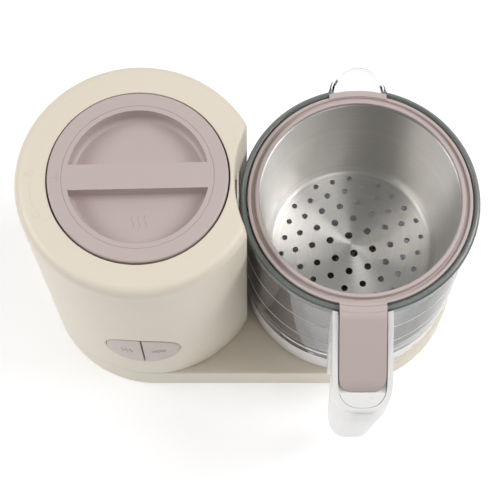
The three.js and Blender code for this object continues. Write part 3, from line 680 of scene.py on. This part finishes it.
def column_mouth(angles):
    """Rings across the flat top and down the round opening that the lid stands in."""
    rings = []
    rim = LID_OPENING + 0.7
    for share in (0.25, 0.5, 0.75):
        rings.append(polar_ring(
            angles, lambda a, s=share: column_radius(a, SHOULDER) * (1 - s) + rim * s, COLUMN_TOP,
        ))
    bottom = COLUMN_TOP - LID_WELL_DEPTH
    edge = rounded([(rim, COLUMN_TOP), (LID_OPENING, COLUMN_TOP, 0.6), (LID_OPENING, bottom)], 4)
    for r, z in edge + [(LID_OPENING + 1, bottom), (LID_OPENING + 1, COLUMN_TOP - WALL)]:
        rings.append(polar_ring(angles, r, z))
    return rings


def column_lining(angles):
    """Rings down the inside of the column."""
    rings = []
    least = LID_OPENING + 1.1
    for inset, drop in ((SHOULDER, WALL), (1.5, SHOULDER)):
        rings.append(polar_ring(
            angles, lambda a, d=inset: max(column_radius(a, d) - WALL, least), COLUMN_TOP - drop,
        ))
    rings.append(polar_ring(angles, lambda a: column_radius(a, 0) - WALL, COLUMN_FOOT))
    return rings


def make_column():
    angles = column_angles()
    rings = column_wall(angles) + column_mouth(angles) + column_lining(angles)
    shell = loft("column", rings, closed=True)
    opening = disc_cutter(PANEL_RADIUS, 40, 100, 128)
    opening.data.transform(Matrix.Rotation(math.pi / 2, 4, "X"))
    move(opening, 0, 0, PANEL_HEIGHT)
    opening.data.transform(Matrix.Rotation(PANEL_TURN, 4, "Z"))
    nozzle = (low("steam_nozzle") + high("steam_nozzle")) / 2
    slot_cut = box_cutter((55, 70), (-6.3, 6.3), (nozzle.z - 4.5, nozzle.z + 4.1))
    cut(shell, opening, slot_cut)
    place(shell, COLUMN, "root", "cream_plastic", ["column_shell"])


# -------------------------------- buttons
ICON_OFFSET = 11.5


def half_disc(side, radius, inset=0.0, steps=26):
    """The outline of one button, on the flat, with its straight edge beside the dividing gap."""
    edge = BUTTON_GAP + inset
    reach = radius - inset
    corner = math.acos(edge / reach)
    arc = [-corner + 2 * corner * i / steps for i in range(steps + 1)]
    outline = [(side * reach * math.cos(a), reach * math.sin(a)) for a in arc]
    tall = reach * math.sin(corner)
    straight = [(side * edge, tall * (1 - 2 * i / steps)) for i in range(1, steps)]
    return outline + straight


def on_panel(across, up, depth):
    """A point of the panel, bent round the column, depth inside the buttons' face."""
    return (across, -math.sqrt(BUTTON_FACE ** 2 - across ** 2) + depth, PANEL_HEIGHT + up)


def make_button(name, side):
    radius = PANEL_RADIUS - BUTTON_GAP
    edge = 0.8
    rings = []
    middle = 11.0 * side
    face = half_disc(side, radius, edge)
    for share in (0.02, 0.3, 0.55, 0.8, 0.92):
        rings.append([on_panel(middle + (x - middle) * share, z * share, 0) for x, z in face])
    for bend in quarter_turn(5):
        inset = edge * (1 - math.sin(bend))
        depth = edge * (1 - math.cos(bend))
        rings.append([on_panel(x, z, depth) for x, z in half_disc(side, radius, inset)])
    back = [on_panel(x, z, 9) for x, z in half_disc(side, radius)]
    rings.append([(x, max(y, -BUTTON_BACK), z) for x, y, z in back])
    rings.append([(x, -BUTTON_BACK, PANEL_HEIGHT + z) for x, z in half_disc(side, radius, 2)])
    cap = loft(name, rings, caps=True)
    place(cap, COLUMN, name.replace("button", "push"), "button_plastic", [name], turn=PANEL_TURN)


def steam_line(across):
    """One wavy upright line, as steam is drawn, 9 mm tall about the middle."""
    shares = [i / 24 for i in range(25)]
    return [(across + 0.8 * math.sin(TURN * share), 9 * (share - 0.5)) for share in shares]


def loop(across):
    """One upright oval loop about the middle."""
    return [(across + 1.5 * math.cos(a), 2.4 * math.sin(a)) for a in whole_turn(20) + [0]]


def make_icons():
    steam = [steam_line(-ICON_OFFSET + 3 * k) for k in (-1, 0, 1)]
    swirl = [loop(ICON_OFFSET + 3.4 * k) for k in (-1, 0, 1)]
    for name, paths, body in (("steam_icon", steam, "steam_push"), ("blend_icon", swirl, "blend_push")):
        lines = [[on_panel(x, z, -MARK_LIFT) for x, z in path] for path in paths]
        icon = wire(name, lines, 0.22)
        place(icon, COLUMN, body, "button_plastic", turn=PANEL_TURN)
        icon.data.materials[0] = MARK_LOOK


# -------------------------------- boiler lid
LID_TILT = math.radians(1.3)  # the bar is turned this much


def make_lid_cap():
    inner = GRIP_RADIUS + 0.2
    profile = rounded([
        (inner, LID_TOP - 12), (inner, LID_TOP, 0.3), (LID_RADIUS, LID_TOP, 1.6),
        (LID_RADIUS, LID_SKIRT, 0.5), (LID_RADIUS - 2.2, LID_SKIRT), (LID_RADIUS - 2.2, LID_TOP - 3, 0.8),
        (inner + 2, LID_TOP - 3), (inner + 2, LID_TOP - 12),
    ])
    place(turned("lid_rim", profile, 160), COLUMN, "lid_top", "mauve_plastic", ["lid_cap"])


def well(side):
    """The cutter for one finger well: half of a round pocket, with a rounded floor edge."""
    edge = BAR_WIDTH / 2

    def outline(inset):
        reach = WELL_RADIUS - inset
        line = edge + inset
        corner = math.asin(line / reach)
        arc = [corner + (math.pi - 2 * corner) * i / 56 for i in range(57)]
        half = reach * math.cos(corner)
        straight = [(-half + 2 * half * i / 40, line) for i in range(1, 40)]
        return [(reach * math.cos(a), reach * math.sin(a)) for a in arc] + straight

    rings = []
    for bend in quarter_turn(7):
        z = WELL_FLOOR + WELL_FILLET * (1 - math.cos(bend))
        rings.append([(x, side * y, z) for x, y in outline(WELL_FILLET * (1 - math.sin(bend)))])
    rings.append([(x, side * y, LID_TOP + 5) for x, y in outline(0)])
    return loft("well", rings, caps=True)


def make_lid_grip():
    bottom = low("lid_grip").z
    seam = LID_TOP - 0.3  # below this the grip fills the gap to the rim, so the gap is only a fine groove
    wide = GRIP_RADIUS + 0.18
    body = turned("lid_handle", [
        (0, bottom), (wide, bottom), (wide, seam),
        (GRIP_RADIUS, seam), (GRIP_RADIUS, LID_TOP), (0, LID_TOP),
    ], 160)
    cut(body, well(1), well(-1))
    place(body, COLUMN, "lid_top", "mauve_plastic", ["lid_grip"], bevel=0.5, turn=LID_TILT)


def make_lid_marks():
    height = LID_TOP + MARK_LIFT
    pointer = [[(-56.5, 0, height), (-52, 0, height)], [(-52, -2.4, height), (-52, 2.4, height)]]
    arrow = wire("lid_pointer", pointer, 0.16)
    place(arrow, COLUMN, "lid_top", "mauve_plastic", turn=LID_TILT)
    heat = [[(x, y - 27, WELL_FLOOR + 0.05) for x, y in steam_line(4 * k)] for k in (-1, 0, 1)]
    waves = wire("heat_waves", heat, 0.2)
    place(waves, COLUMN, "lid_top", "mauve_plastic", turn=LID_TILT)


def padlock(angle, opened):
    """A small padlock drawn on the column's top, its shackle towards the edge."""
    half, tall = 1.9, 2.8
    body = [(-half, 0), (half, 0), (half, tall), (-half, tall), (-half, 0)]
    lift = 1.2 if opened else 0
    shackle = [(1.2 * math.cos(a), tall + lift + 1.3 * math.sin(a)) for a in whole_turn(16)[:9]]
    legs = [(1.2, tall)] + shackle + ([] if opened else [(-1.2, tall)])
    height = COLUMN_TOP + MARK_LIFT
    return [[polar_place(68 + y, angle + x / 70, height) for x, y in path] for path in (body, legs)]


def make_column_marks():
    height = COLUMN_TOP + MARK_LIFT
    locked, unlocked = math.radians(202), math.radians(178)
    sweep = [polar_place(70, math.radians(183 + 14 * i / 10), height) for i in range(11)]
    tick = math.radians(207)
    lines = [sweep, [polar_place(61.5, tick, height), polar_place(65, tick, height)]]
    marks = wire("lid_position_marks", lines + padlock(locked, False) + padlock(unlocked, True), 0.16)
    place(marks, COLUMN, "root", "cream_plastic")


# -------------------------------- boiler, seen when its lid is off
COLLAR_MOUTH = 50.2
LUG_TRACK = 55.3
LUG_BOTTOM = 203.2


def make_collar():
    """The collar that the lid locks in: a track for the lid's three lugs, with a gate for each."""
    profile = rounded([
        (42, 182), (56.3, 182), (56.3, 213, 0.6), (COLLAR_MOUTH, 213, 0.6), (COLLAR_MOUTH, 208.4, 0.3),
        (LUG_TRACK, 208.4), (LUG_TRACK, LUG_BOTTOM), (COLLAR_MOUTH, LUG_BOTTOM, 0.3),
        (COLLAR_MOUTH, 195.7), (42, 195.7, 0.8),
    ], 3)
    neck = turned("boiler_neck", profile, 128)
    for middle in (60, 180, 300):
        span = [math.radians(middle - 20 + 40 * i / 10) for i in range(11)]
        gate = [(48 * math.cos(a), 48 * math.sin(a)) for a in span]
        gate += [(LUG_TRACK * math.cos(a), LUG_TRACK * math.sin(a)) for a in reversed(span)]
        cut(neck, prism("gate", gate, LUG_BOTTOM, 220))
    place(neck, COLUMN, "root", "white_plastic", ["boiler_collar"], bevel=0.3)


def make_tank():
    profile = rounded([
        (0, 138.8), (39, 138.8, 3), (43.2, 143, 3), (43.2, 178.8, 1), (51, 178.8), (51, 180),
        (42, 180, 1.2), (42, 144, 4), (38, 140, 4), (0, 140),
    ])
    place(turned("boiler_tank_cup", profile), COLUMN, "root", "stainless_steel", ["boiler_tank"])


def make_lid_underside():
    seal = rounded([
        (41.5, 196, 0), (48, 196, 1.2), (48, 199, 1.2), (41.5, 199, 1.2), (41.5, 196, 1.2),
    ], 4)
    place(turned("lid_gasket", seal), COLUMN, "lid_core", "silicone", ["lid_seal"])
    disc = rounded([
        (0, 199.3), (45.5, 199.3, 0.6), (45.5, 201.8, 0.6), (5.7, 201.8), (5.7, 214), (0, 214),
    ], 4)
    place(turned("lid_disc", disc), COLUMN, "lid_core", "stainless_steel", ["lid_seal_plate"])


# -------------------------------- steam nozzle
UPRIGHT = Matrix(((0, 0, 1, 0), (1, 0, 0, 0), (0, 1, 0, 0), (0, 0, 0, 1)))
NOZZLE_NECK = 3.9


def make_nozzle():
    """A plate with round corners on a rectangular neck, and a slot through both for the steam."""
    lowest, highest = low("steam_nozzle"), high("steam_nozzle")
    middle = (lowest.z + highest.z) / 2
    half = (highest.y - lowest.y) / 2
    back = lowest.x - COLUMN.x
    face = highest.x - COLUMN.x
    front = back + NOZZLE_NECK
    outline = rounded([
        (-half, lowest.z, 2), (half, lowest.z, 2), (half, highest.z, 2), (-half, highest.z, 2),
    ], closed=True)
    plate = prism("plate", outline, 0, face - front)
    plate.data.transform(UPRIGHT)
    move(plate, front)
    nozzle = join(plate, box_cutter((back, face - 0.2), (-6, 6), (middle - 4.2, middle + 3.8)))
    cut(nozzle, box_cutter((back - 5, face + 5), (-4.2, 4.2), (middle - 2.8, middle + 2.4)))
    place(nozzle, COLUMN, "root", "silicone", ["steam_nozzle"], bevel=0.3)


# -------------------------------- jug glass
WALL_RADIUS = 79.0
LIP = 2.2
SPOUT_WALL = 1.9
SPOUT_RADIUS = 19.5
SPOUT_FOOT = 158.0
SPOUT_FOOT_RADIUS = 7.0
SPOUT_FOOT_REACH = 71.0


def spout_radius(angle, height, inset):
    """How far the spout's wall is from the jug's axis, or 0 beside the spout, a cone that leans out."""
    rise = (height - SPOUT_FOOT) / (GLASS_TOP - SPOUT_FOOT)
    if rise <= 0:
        return 0
    radius = SPOUT_FOOT_RADIUS + (SPOUT_RADIUS - SPOUT_FOOT_RADIUS) * rise - inset
    middle = SPOUT_FOOT_REACH + (SPOUT_REACH - SPOUT_RADIUS - SPOUT_FOOT_REACH) * rise
    away = angle - math.pi / 2
    sideways = middle * math.sin(away)
    if abs(sideways) >= radius or math.cos(away) < 0:
        return 0
    return middle * math.cos(away) + math.sqrt(radius ** 2 - sideways ** 2)


def glass_outside(angle, height):
    wall = WALL_RADIUS
    rim = min(max((height - GLASS_TOP + RIM_DEPTH) / 3, 0), 1)
    wall += (BEAD_RADIUS - wall) * rim * rim * (3 - 2 * rim)
    return smooth_max(wall, spout_radius(angle, height, 0), 4)


def glass_inside(angle, height):
    wall = 74.4 + 1.4 * (height - 70) / 110
    return smooth_max(wall, spout_radius(angle, height, SPOUT_WALL), 4)


def make_glass():
    angles = [math.radians(a) for a in spaced([(-180, 2.5), (70, 0.6), (110, 2.5), (180, 2.5)])[:-1]]
    foot = rounded([
        (19, GLASS_BOTTOM), (73.5, GLASS_BOTTOM, 3), (74.8, RING_TOP + 0.2), (WALL_RADIUS, RING_TOP + 0.4),
    ])
    rings = [polar_ring(angles, r, z) for r, z in foot]
    for z in spaced([(RING_TOP + 1.2, 0.9), (GLASS_TOP - LIP, 0.9)]):
        rings.append(polar_ring(angles, lambda a, z=z: glass_outside(a, z), z))
    for bend in whole_turn(16)[:9]:
        across = (1 - math.cos(bend)) / 2
        z = GLASS_TOP - LIP + LIP * math.sin(bend)
        rings.append(polar_ring(angles, lambda a, s=across: (
            glass_outside(a, GLASS_TOP) * (1 - s) + glass_inside(a, GLASS_TOP) * s
        ), z))
    for z in reversed(spaced([(72, 5), (155, 1.6), (GLASS_TOP - 3, 1.6)])):
        rings.append(polar_ring(angles, lambda a, z=z: glass_inside(a, z), z))
    floor = rounded([(74, 68), (72, 55, 9), (30, 55), (19, 55)], 10)
    rings += [polar_ring(angles, r, z) for r, z in floor]
    place(loft("jug_bowl", rings, closed=True), JUG, "jug", "jug_glass", ["jug_glass"])


def make_beads():
    """The fine raised lines round the glass, in a near-white that paints the highlight each of them catches. The
    wall mirrors each of them several times.
    """
    inner = WALL_RADIUS - 0.05
    outer = WALL_RADIUS + 0.35
    for number in range(1, BEADS + 1):
        z = RING_TOP + BEAD_PITCH * number
        section = [(inner, z - 0.3), (outer, z - 0.15), (outer, z + 0.15), (inner, z + 0.3)]
        bead = place(turned(f"jug_highlight_bead_{number}", section, 160), JUG, "jug", "jug_glass")
        bead.data.materials[0] = HIGHLIGHT_LINE_LOOK


def make_jug_ring():
    profile = rounded([
        (19, 39.2), (22.5, 39.2), (22.5, 44), (75, 44), (75, RING_BOTTOM), (RING_RADIUS, RING_BOTTOM, 1),
        (RING_RADIUS, RING_TOP, 1.8), (75.2, RING_TOP, 0.3), (75.2, 47), (19, 47),
    ], 5)
    ring = turned("jug_foot_ring", profile, 160)
    skirt = [(50.8, 36), (54, 36), (54, 45), (50.8, 45)]
    join(ring, turned("skirt", skirt))
    place(ring, JUG, "jug", "white_plastic", ["jug_ring"])


def make_hub():
    """The housing round the blades' spindle, inside the jug's bottom."""
    profile = rounded([
        (3.4, 56), (3.4, 70, 0.8), (8, 70, 1.5), (10, 66, 2), (20, 60.5, 2), (26, 58.6, 1), (26, 55.3),
        (18.3, 55.3), (18.3, 40), (14.6, 40), (14.6, 50), (6.4, 50), (6.4, 56),
    ], 4)
    place(turned("blade_hub", profile, 96), JUG, "jug", "black_plastic", ["blade_housing"])


# -------------------------------- jug handle
HANDLE_SLOPE_TOP = 187.5
HANDLE_SLOPE_END = 168.5
RAIL_TOP = HANDLE_SLOPE_TOP + 2.3
COVER_DROP = 3.3
COVER_WIDTH = 32.4
COVER_REACH = HANDLE_REACH - 3.4
POCKET_DROP = 5.9
GRIP_CORNER = 19.0
COVER_CORNER = 15.5
GRIP_BEND = 138.0  # below this height the grip leans back and narrows
GRIP_LEAN = 0.1
GRIP_TAPER = 0.0017
BEYOND = 145.0  # where the side outlines of the handle end, past the plan that trims them


def handle_plan(half, reach, corner):
    """A round-cornered bar seen from above, as tall as the machine. Low down it leans back and narrows."""
    outline = rounded([
        (-half, -50, 0), (-half, -reach, corner), (half, -reach, corner), (half, -50, 0),
    ], 16, closed=True)
    rings = []
    for z in (0, GRIP_BEND, 250):
        below = max(GRIP_BEND - z, 0)
        rings.append([(x * (1 - GRIP_TAPER * below), y + GRIP_LEAN * below, z) for x, y in outline])
    return loft("plan", rings, caps=True)


def cover_side(drop, front_drop):
    """The line of the handle's cover, drop below the rails' slope."""
    return [
        (-84, HANDLE_SLOPE_TOP - drop, 3), (-STRAP_END, HANDLE_SLOPE_END - drop, 3),
        (-BEYOND, 162.2 - front_drop, 0),
    ]


def make_handle():
    side = rounded([
        (-70, RAIL_TOP), (-84, RAIL_TOP, 2), (-STRAP_END, HANDLE_SLOPE_END, 6),
        (-HANDLE_REACH, 163.5, 3), (-HANDLE_REACH, GRIP_BEND, 30), (-131, 39, 7), (-112, 39, 6),
        (-115, 100, 20), (-113.5, 150, 18), (-87.5, 158, 16), (-87.5, 60, 12), (-84, 43, 4), (-70, 43),
    ], 12, closed=True)
    body = side_prism("jug_grip", side, HANDLE_WIDTH)
    meet(body, handle_plan(HANDLE_WIDTH / 2, HANDLE_REACH, GRIP_CORNER))
    pocket = side_prism("pocket", rounded([
        (-60, HANDLE_SLOPE_TOP - POCKET_DROP), *cover_side(POCKET_DROP, 3.7), (-BEYOND, 230), (-60, 230),
    ], closed=True), COVER_WIDTH)
    meet(pocket, handle_plan(COVER_WIDTH / 2, COVER_REACH, COVER_CORNER))
    glass_wall = disc_cutter(WALL_RADIUS + 1, 0, 300, 128)
    glass_rim = disc_cutter(BEAD_RADIUS + 0.4, GLASS_TOP - RIM_DEPTH - 1.5, 300, 128)
    cut(body, pocket, join(glass_wall, glass_rim))
    place(body, JUG, "jug", "white_plastic", ["jug_handle"], bevel=0.7)


def make_cover():
    """The cover in the handle's pocket, with a gap all round. It steps up in front of the strap's end."""
    gap = 0.25
    step = -STRAP_END - 0.6
    top = [
        (-84, HANDLE_SLOPE_TOP - COVER_DROP, 4), (step, HANDLE_SLOPE_END - COVER_DROP, 0.2),
        (step, HANDLE_SLOPE_END - 0.6, 0.8), (-BEYOND, 161.8, 0),
    ]
    drop = POCKET_DROP - gap
    bottom = cover_side(drop, 3.4)
    start = -BEAD_RADIUS - 1.2
    outline = rounded([
        (start, HANDLE_SLOPE_TOP - COVER_DROP), *top, *reversed(bottom), (start, HANDLE_SLOPE_TOP - drop),
    ], closed=True)
    cover = side_prism("grip_cover", outline, COVER_WIDTH - 2 * gap)
    meet(cover, handle_plan(COVER_WIDTH / 2 - gap, COVER_REACH - gap, COVER_CORNER))
    place(cover, JUG, "jug", "white_plastic", ["handle_cover"], bevel=0.35)


# -------------------------------- steam basket
HOLE_PITCH = 14.2
HOLE_TURN = math.radians(14.5)
HOLE_FIELD = 60.0
DRILL_SIDES = 20
STRAP_TOP = 193.8


def steam_holes():
    """(x, y, radius) of each hole, in rows either side of the middle, smaller and closer near the wall."""
    holes = []
    for row in range(5):
        for step in range(-4, 5):
            for side in (-1, 1):
                u = (step + (row % 2) / 2) * HOLE_PITCH
                v = side * (0.5 + row * math.sin(math.pi / 3)) * HOLE_PITCH
                spread = math.hypot(u, v) / HOLE_FIELD
                if spread > 1:
                    continue
                reach = HOLE_FIELD * spread * (1 - 0.11 * spread ** 2)
                angle = math.atan2(v, u) + HOLE_TURN
                size = 2.9 - spread
                holes.append((reach * math.cos(angle), reach * math.sin(angle), size))
    return holes


def make_drills():
    """One cutter for all the steam holes: an upright rod through each."""
    points, faces = [], []
    for x, y, size in steam_holes():
        lower = [len(points) + i for i in range(DRILL_SIDES)]
        upper = [i + DRILL_SIDES for i in lower]
        for z in (80, 110):
            points += [(x + size * math.cos(a), y + size * math.sin(a), z) for a in whole_turn(DRILL_SIDES)]
        faces += [tuple(lower), tuple(upper)]
        for i in range(DRILL_SIDES):
            j = (i + 1) % DRILL_SIDES
            faces.append((lower[i], lower[j], upper[j], upper[i]))
    return new_object("drills", points, faces)


def make_basket():
    profile = rounded([
        (0, BASKET_FLOOR + 2.6), (30, BASKET_FLOOR + 1.3, 8), (57.5, BASKET_FLOOR, 2),
        (61.2, BASKET_FLOOR + 5.5, 3), (BASKET_RADIUS - 0.2, BASKET_TOP - 2),
        (BASKET_RADIUS - 0.8, BASKET_TOP - 1, 0.4), (BASKET_RADIUS - 0.8, BASKET_TOP, 0.5),
        (BASKET_RADIUS + 1, BASKET_TOP), (62.2, BASKET_FLOOR + 4.9, 3), (57.9, BASKET_FLOOR - 1, 2),
        (30, BASKET_FLOOR + 0.3, 8), (0, BASKET_FLOOR + 1.6),
    ], 8)
    cup = turned("basket_cup", profile, 160)
    cut(cup, make_drills())
    place(cup, JUG, "basket", "stainless_steel", ["steam_basket"])


def make_basket_ring():
    profile = rounded([
        (BASKET_RADIUS, 190.6), (BASKET_RADIUS, 193.3, 0.5), (70.4, 193.3, 0.9), (71.0, 189.6, 0.5),
        (72.8, 189.6, 0.5), (73.2, 191.6, 0.5), (75.3, 191.6, 0.7), (75.3, 178, 1), (74, 176), (69.3, 176),
        (69.3, 190.6),
    ], 5)
    ring = turned("basket_rim", profile, 160)
    tab_bottom, tab_top = GLASS_TOP + 0.3, 192.4
    tab = turned("tab", [(73.6, tab_bottom), (77.6, tab_bottom), (77.6, tab_top), (73.6, tab_top)], 128)
    meet(tab, box_cutter((-19.5, 19.5), (60, 90), (150, 250)))
    join(ring, tab)
    place(ring, JUG, "basket", "mauve_plastic", ["basket_ring"], bevel=0.25)


def make_strap():
    """The flat strap that lies on the handle's cover, down to the foot of its slope."""
    slope = HANDLE_SLOPE_END - COVER_DROP
    side = rounded([
        (-73.4, 191.5), (-83.5, 191.5, 1), (-87.5, HANDLE_SLOPE_TOP - COVER_DROP + 0.4, 2),
        (-STRAP_END, slope + 0.9), (-STRAP_END, slope + 1.7, 0.5), (-STRAP_END + 3.5, slope + 5.3, 3),
        (-82.5, STRAP_TOP, 4), (-73.4, STRAP_TOP, 0.8),
    ], 8, closed=True)
    strap = side_prism("basket_strap", side, STRAP_WIDTH)
    meet(strap, handle_plan(STRAP_WIDTH / 2, STRAP_END, 9))
    under = disc_cutter(75.5, 100, 191.6, 128)
    inside = disc_cutter(72.3, 100, 250, 128)
    cut(strap, under, inside, *[curved_groove(radius) for radius in (76.6, 81)])
    place(strap, JUG, "basket", "mauve_plastic", ["basket_handle"], bevel=0.4)


def curved_groove(radius):
    """A cutter for a fine line across the strap, following the jug's rim."""
    bottom, top = STRAP_TOP - 0.4, STRAP_TOP + 2.2
    wide = radius + 0.5
    return turned("groove", [(radius, bottom), (wide, bottom), (wide, top), (radius, top)], 160)


# -------------------------------- what stays as CAD
def dress_cad():
    """Gives each CAD node that still shows its finish and finely rounded edges; the blades get a darker steel
    instead, as painted shade.
    """
    slots = {row["node"]: row["material_slot"] for row in frame["record"]["subparts"]}
    for name, node in frame["nodes"].items():
        node.data.materials.clear()
        node.data.materials.append(BLADE_SHADE_LOOK if name in BLADE_PARTS else LOOKS[slots[name]])
        shade(node, bevel=0.2, angle=30)


# -------------------------------- floor, light and camera
FLOOR_GLOW = 0.36  # a lit white table, which leaves hardly any shadow
ZENITH_LIGHT = 0.44
HORIZON_LIGHT = 0.6
FRONT_SHARE = 0.2  # of what comes from behind
CAMERA_PITCH = 71.0  # degrees below level
CAMERA_LENS = 107.5
CAMERA_AT = Vector((0.0723, -0.3576, 1.122))  # from the foot of the column's axis, in metres


def make_floor():
    half = 6.0 / MM
    corners = [(-half, -half, 0), (half, -half, 0), (half, half, 0), (-half, half, 0)]
    floor = new_object("floor", corners, [(0, 1, 2, 3)])
    look = plastic("floor_white", (0.78, 0.78, 0.78), 0.7, grain=0.02, drift=0.005, coat=0)
    shader = look.node_tree.nodes["Principled BSDF"]
    shader.inputs["Emission Color"].default_value = (1, 1, 1, 1)
    shader.inputs["Emission Strength"].default_value = FLOOR_GLOW
    floor.data.materials.append(look)


def soft_light(name, place_at, aim, size, power):
    data = bpy.data.lights.new(name, "AREA")
    data.shape = "DISK"
    data.size = size
    data.energy = power
    lamp = bpy.data.objects.new(name, data)
    bpy.context.scene.collection.objects.link(lamp)
    lamp.location = place_at
    lamp.rotation_euler = (Vector(aim) - Vector(place_at)).to_track_quat("-Z", "Y").to_euler()


def light_room(tree):
    """White walls all round, dimmer overhead and on the camera's side."""
    split = tree.nodes.new("ShaderNodeSeparateXYZ")
    tree.links.new(tree.nodes.new("ShaderNodeTexCoord").outputs["Generated"], split.inputs[0])
    parts = []
    for axis, first, last, start in (("Z", HORIZON_LIGHT, ZENITH_LIGHT, 0), ("Y", FRONT_SHARE, 1, -1)):
        node = tree.nodes.new("ShaderNodeMapRange")
        node.inputs["From Min"].default_value = start
        node.inputs["To Min"].default_value = first
        node.inputs["To Max"].default_value = last
        tree.links.new(split.outputs[axis], node.inputs["Value"])
        parts.append(node.outputs["Result"])
    product = tree.nodes.new("ShaderNodeMath")
    product.operation = "MULTIPLY"
    tree.links.new(parts[0], product.inputs[0])
    tree.links.new(parts[1], product.inputs[1])
    tree.links.new(product.outputs[0], tree.nodes["Background"].inputs["Strength"])


def make_light():
    middle = (0, 0, 0.12)
    soft_light("softbox_right", (1.3, 0.1, 1.5), middle, 1.0, 17)
    soft_light("softbox_left", (-1.4, 0.0, 1.4), middle, 1.0, 14.5)
    soft_light("overhead", (0.6, -0.5, 2.0), middle, 0.7, 3.8)
    soft_light("behind", (0.2, 1.1, 1.9), middle, 0.5, 0.5)
    soft_light("low_left", (-1.3, -0.9, 0.7), middle, 0.8, 1.5)
    soft_light("low_right", (1.4, -0.5, 0.6), middle, 0.8, 1.5)
    world = bpy.data.worlds.new("studio")
    world.use_nodes = True
    world.node_tree.nodes["Background"].inputs["Color"].default_value = (1, 1, 1, 1)
    light_room(world.node_tree)
    bpy.context.scene.world = world
    bpy.context.scene.view_settings.view_transform = "Standard"


def make_camera():
    """Nearly overhead, looking down from in front."""
    data = bpy.data.cameras.new("camera")
    data.lens = CAMERA_LENS
    camera = bpy.data.objects.new("camera", data)
    bpy.context.scene.collection.objects.link(camera)
    camera.location = Vector((COLUMN.x, COLUMN.y, 0)) * MM + CAMERA_AT
    camera.rotation_euler = (math.radians(90 - CAMERA_PITCH), 0, 0)
    bpy.context.scene.camera = camera


make_camera()
make_base()
make_gland()
make_column()
make_button("steam_button", -1)
make_button("blend_button", 1)
make_icons()
make_lid_cap()
make_lid_grip()
make_lid_marks()
make_column_marks()
make_collar()
make_tank()
make_lid_underside()
make_nozzle()
make_glass()
make_beads()
make_jug_ring()
make_hub()
make_handle()
make_cover()
make_basket()
make_basket_ring()
make_strap()
dress_cad()
make_floor()
make_light()
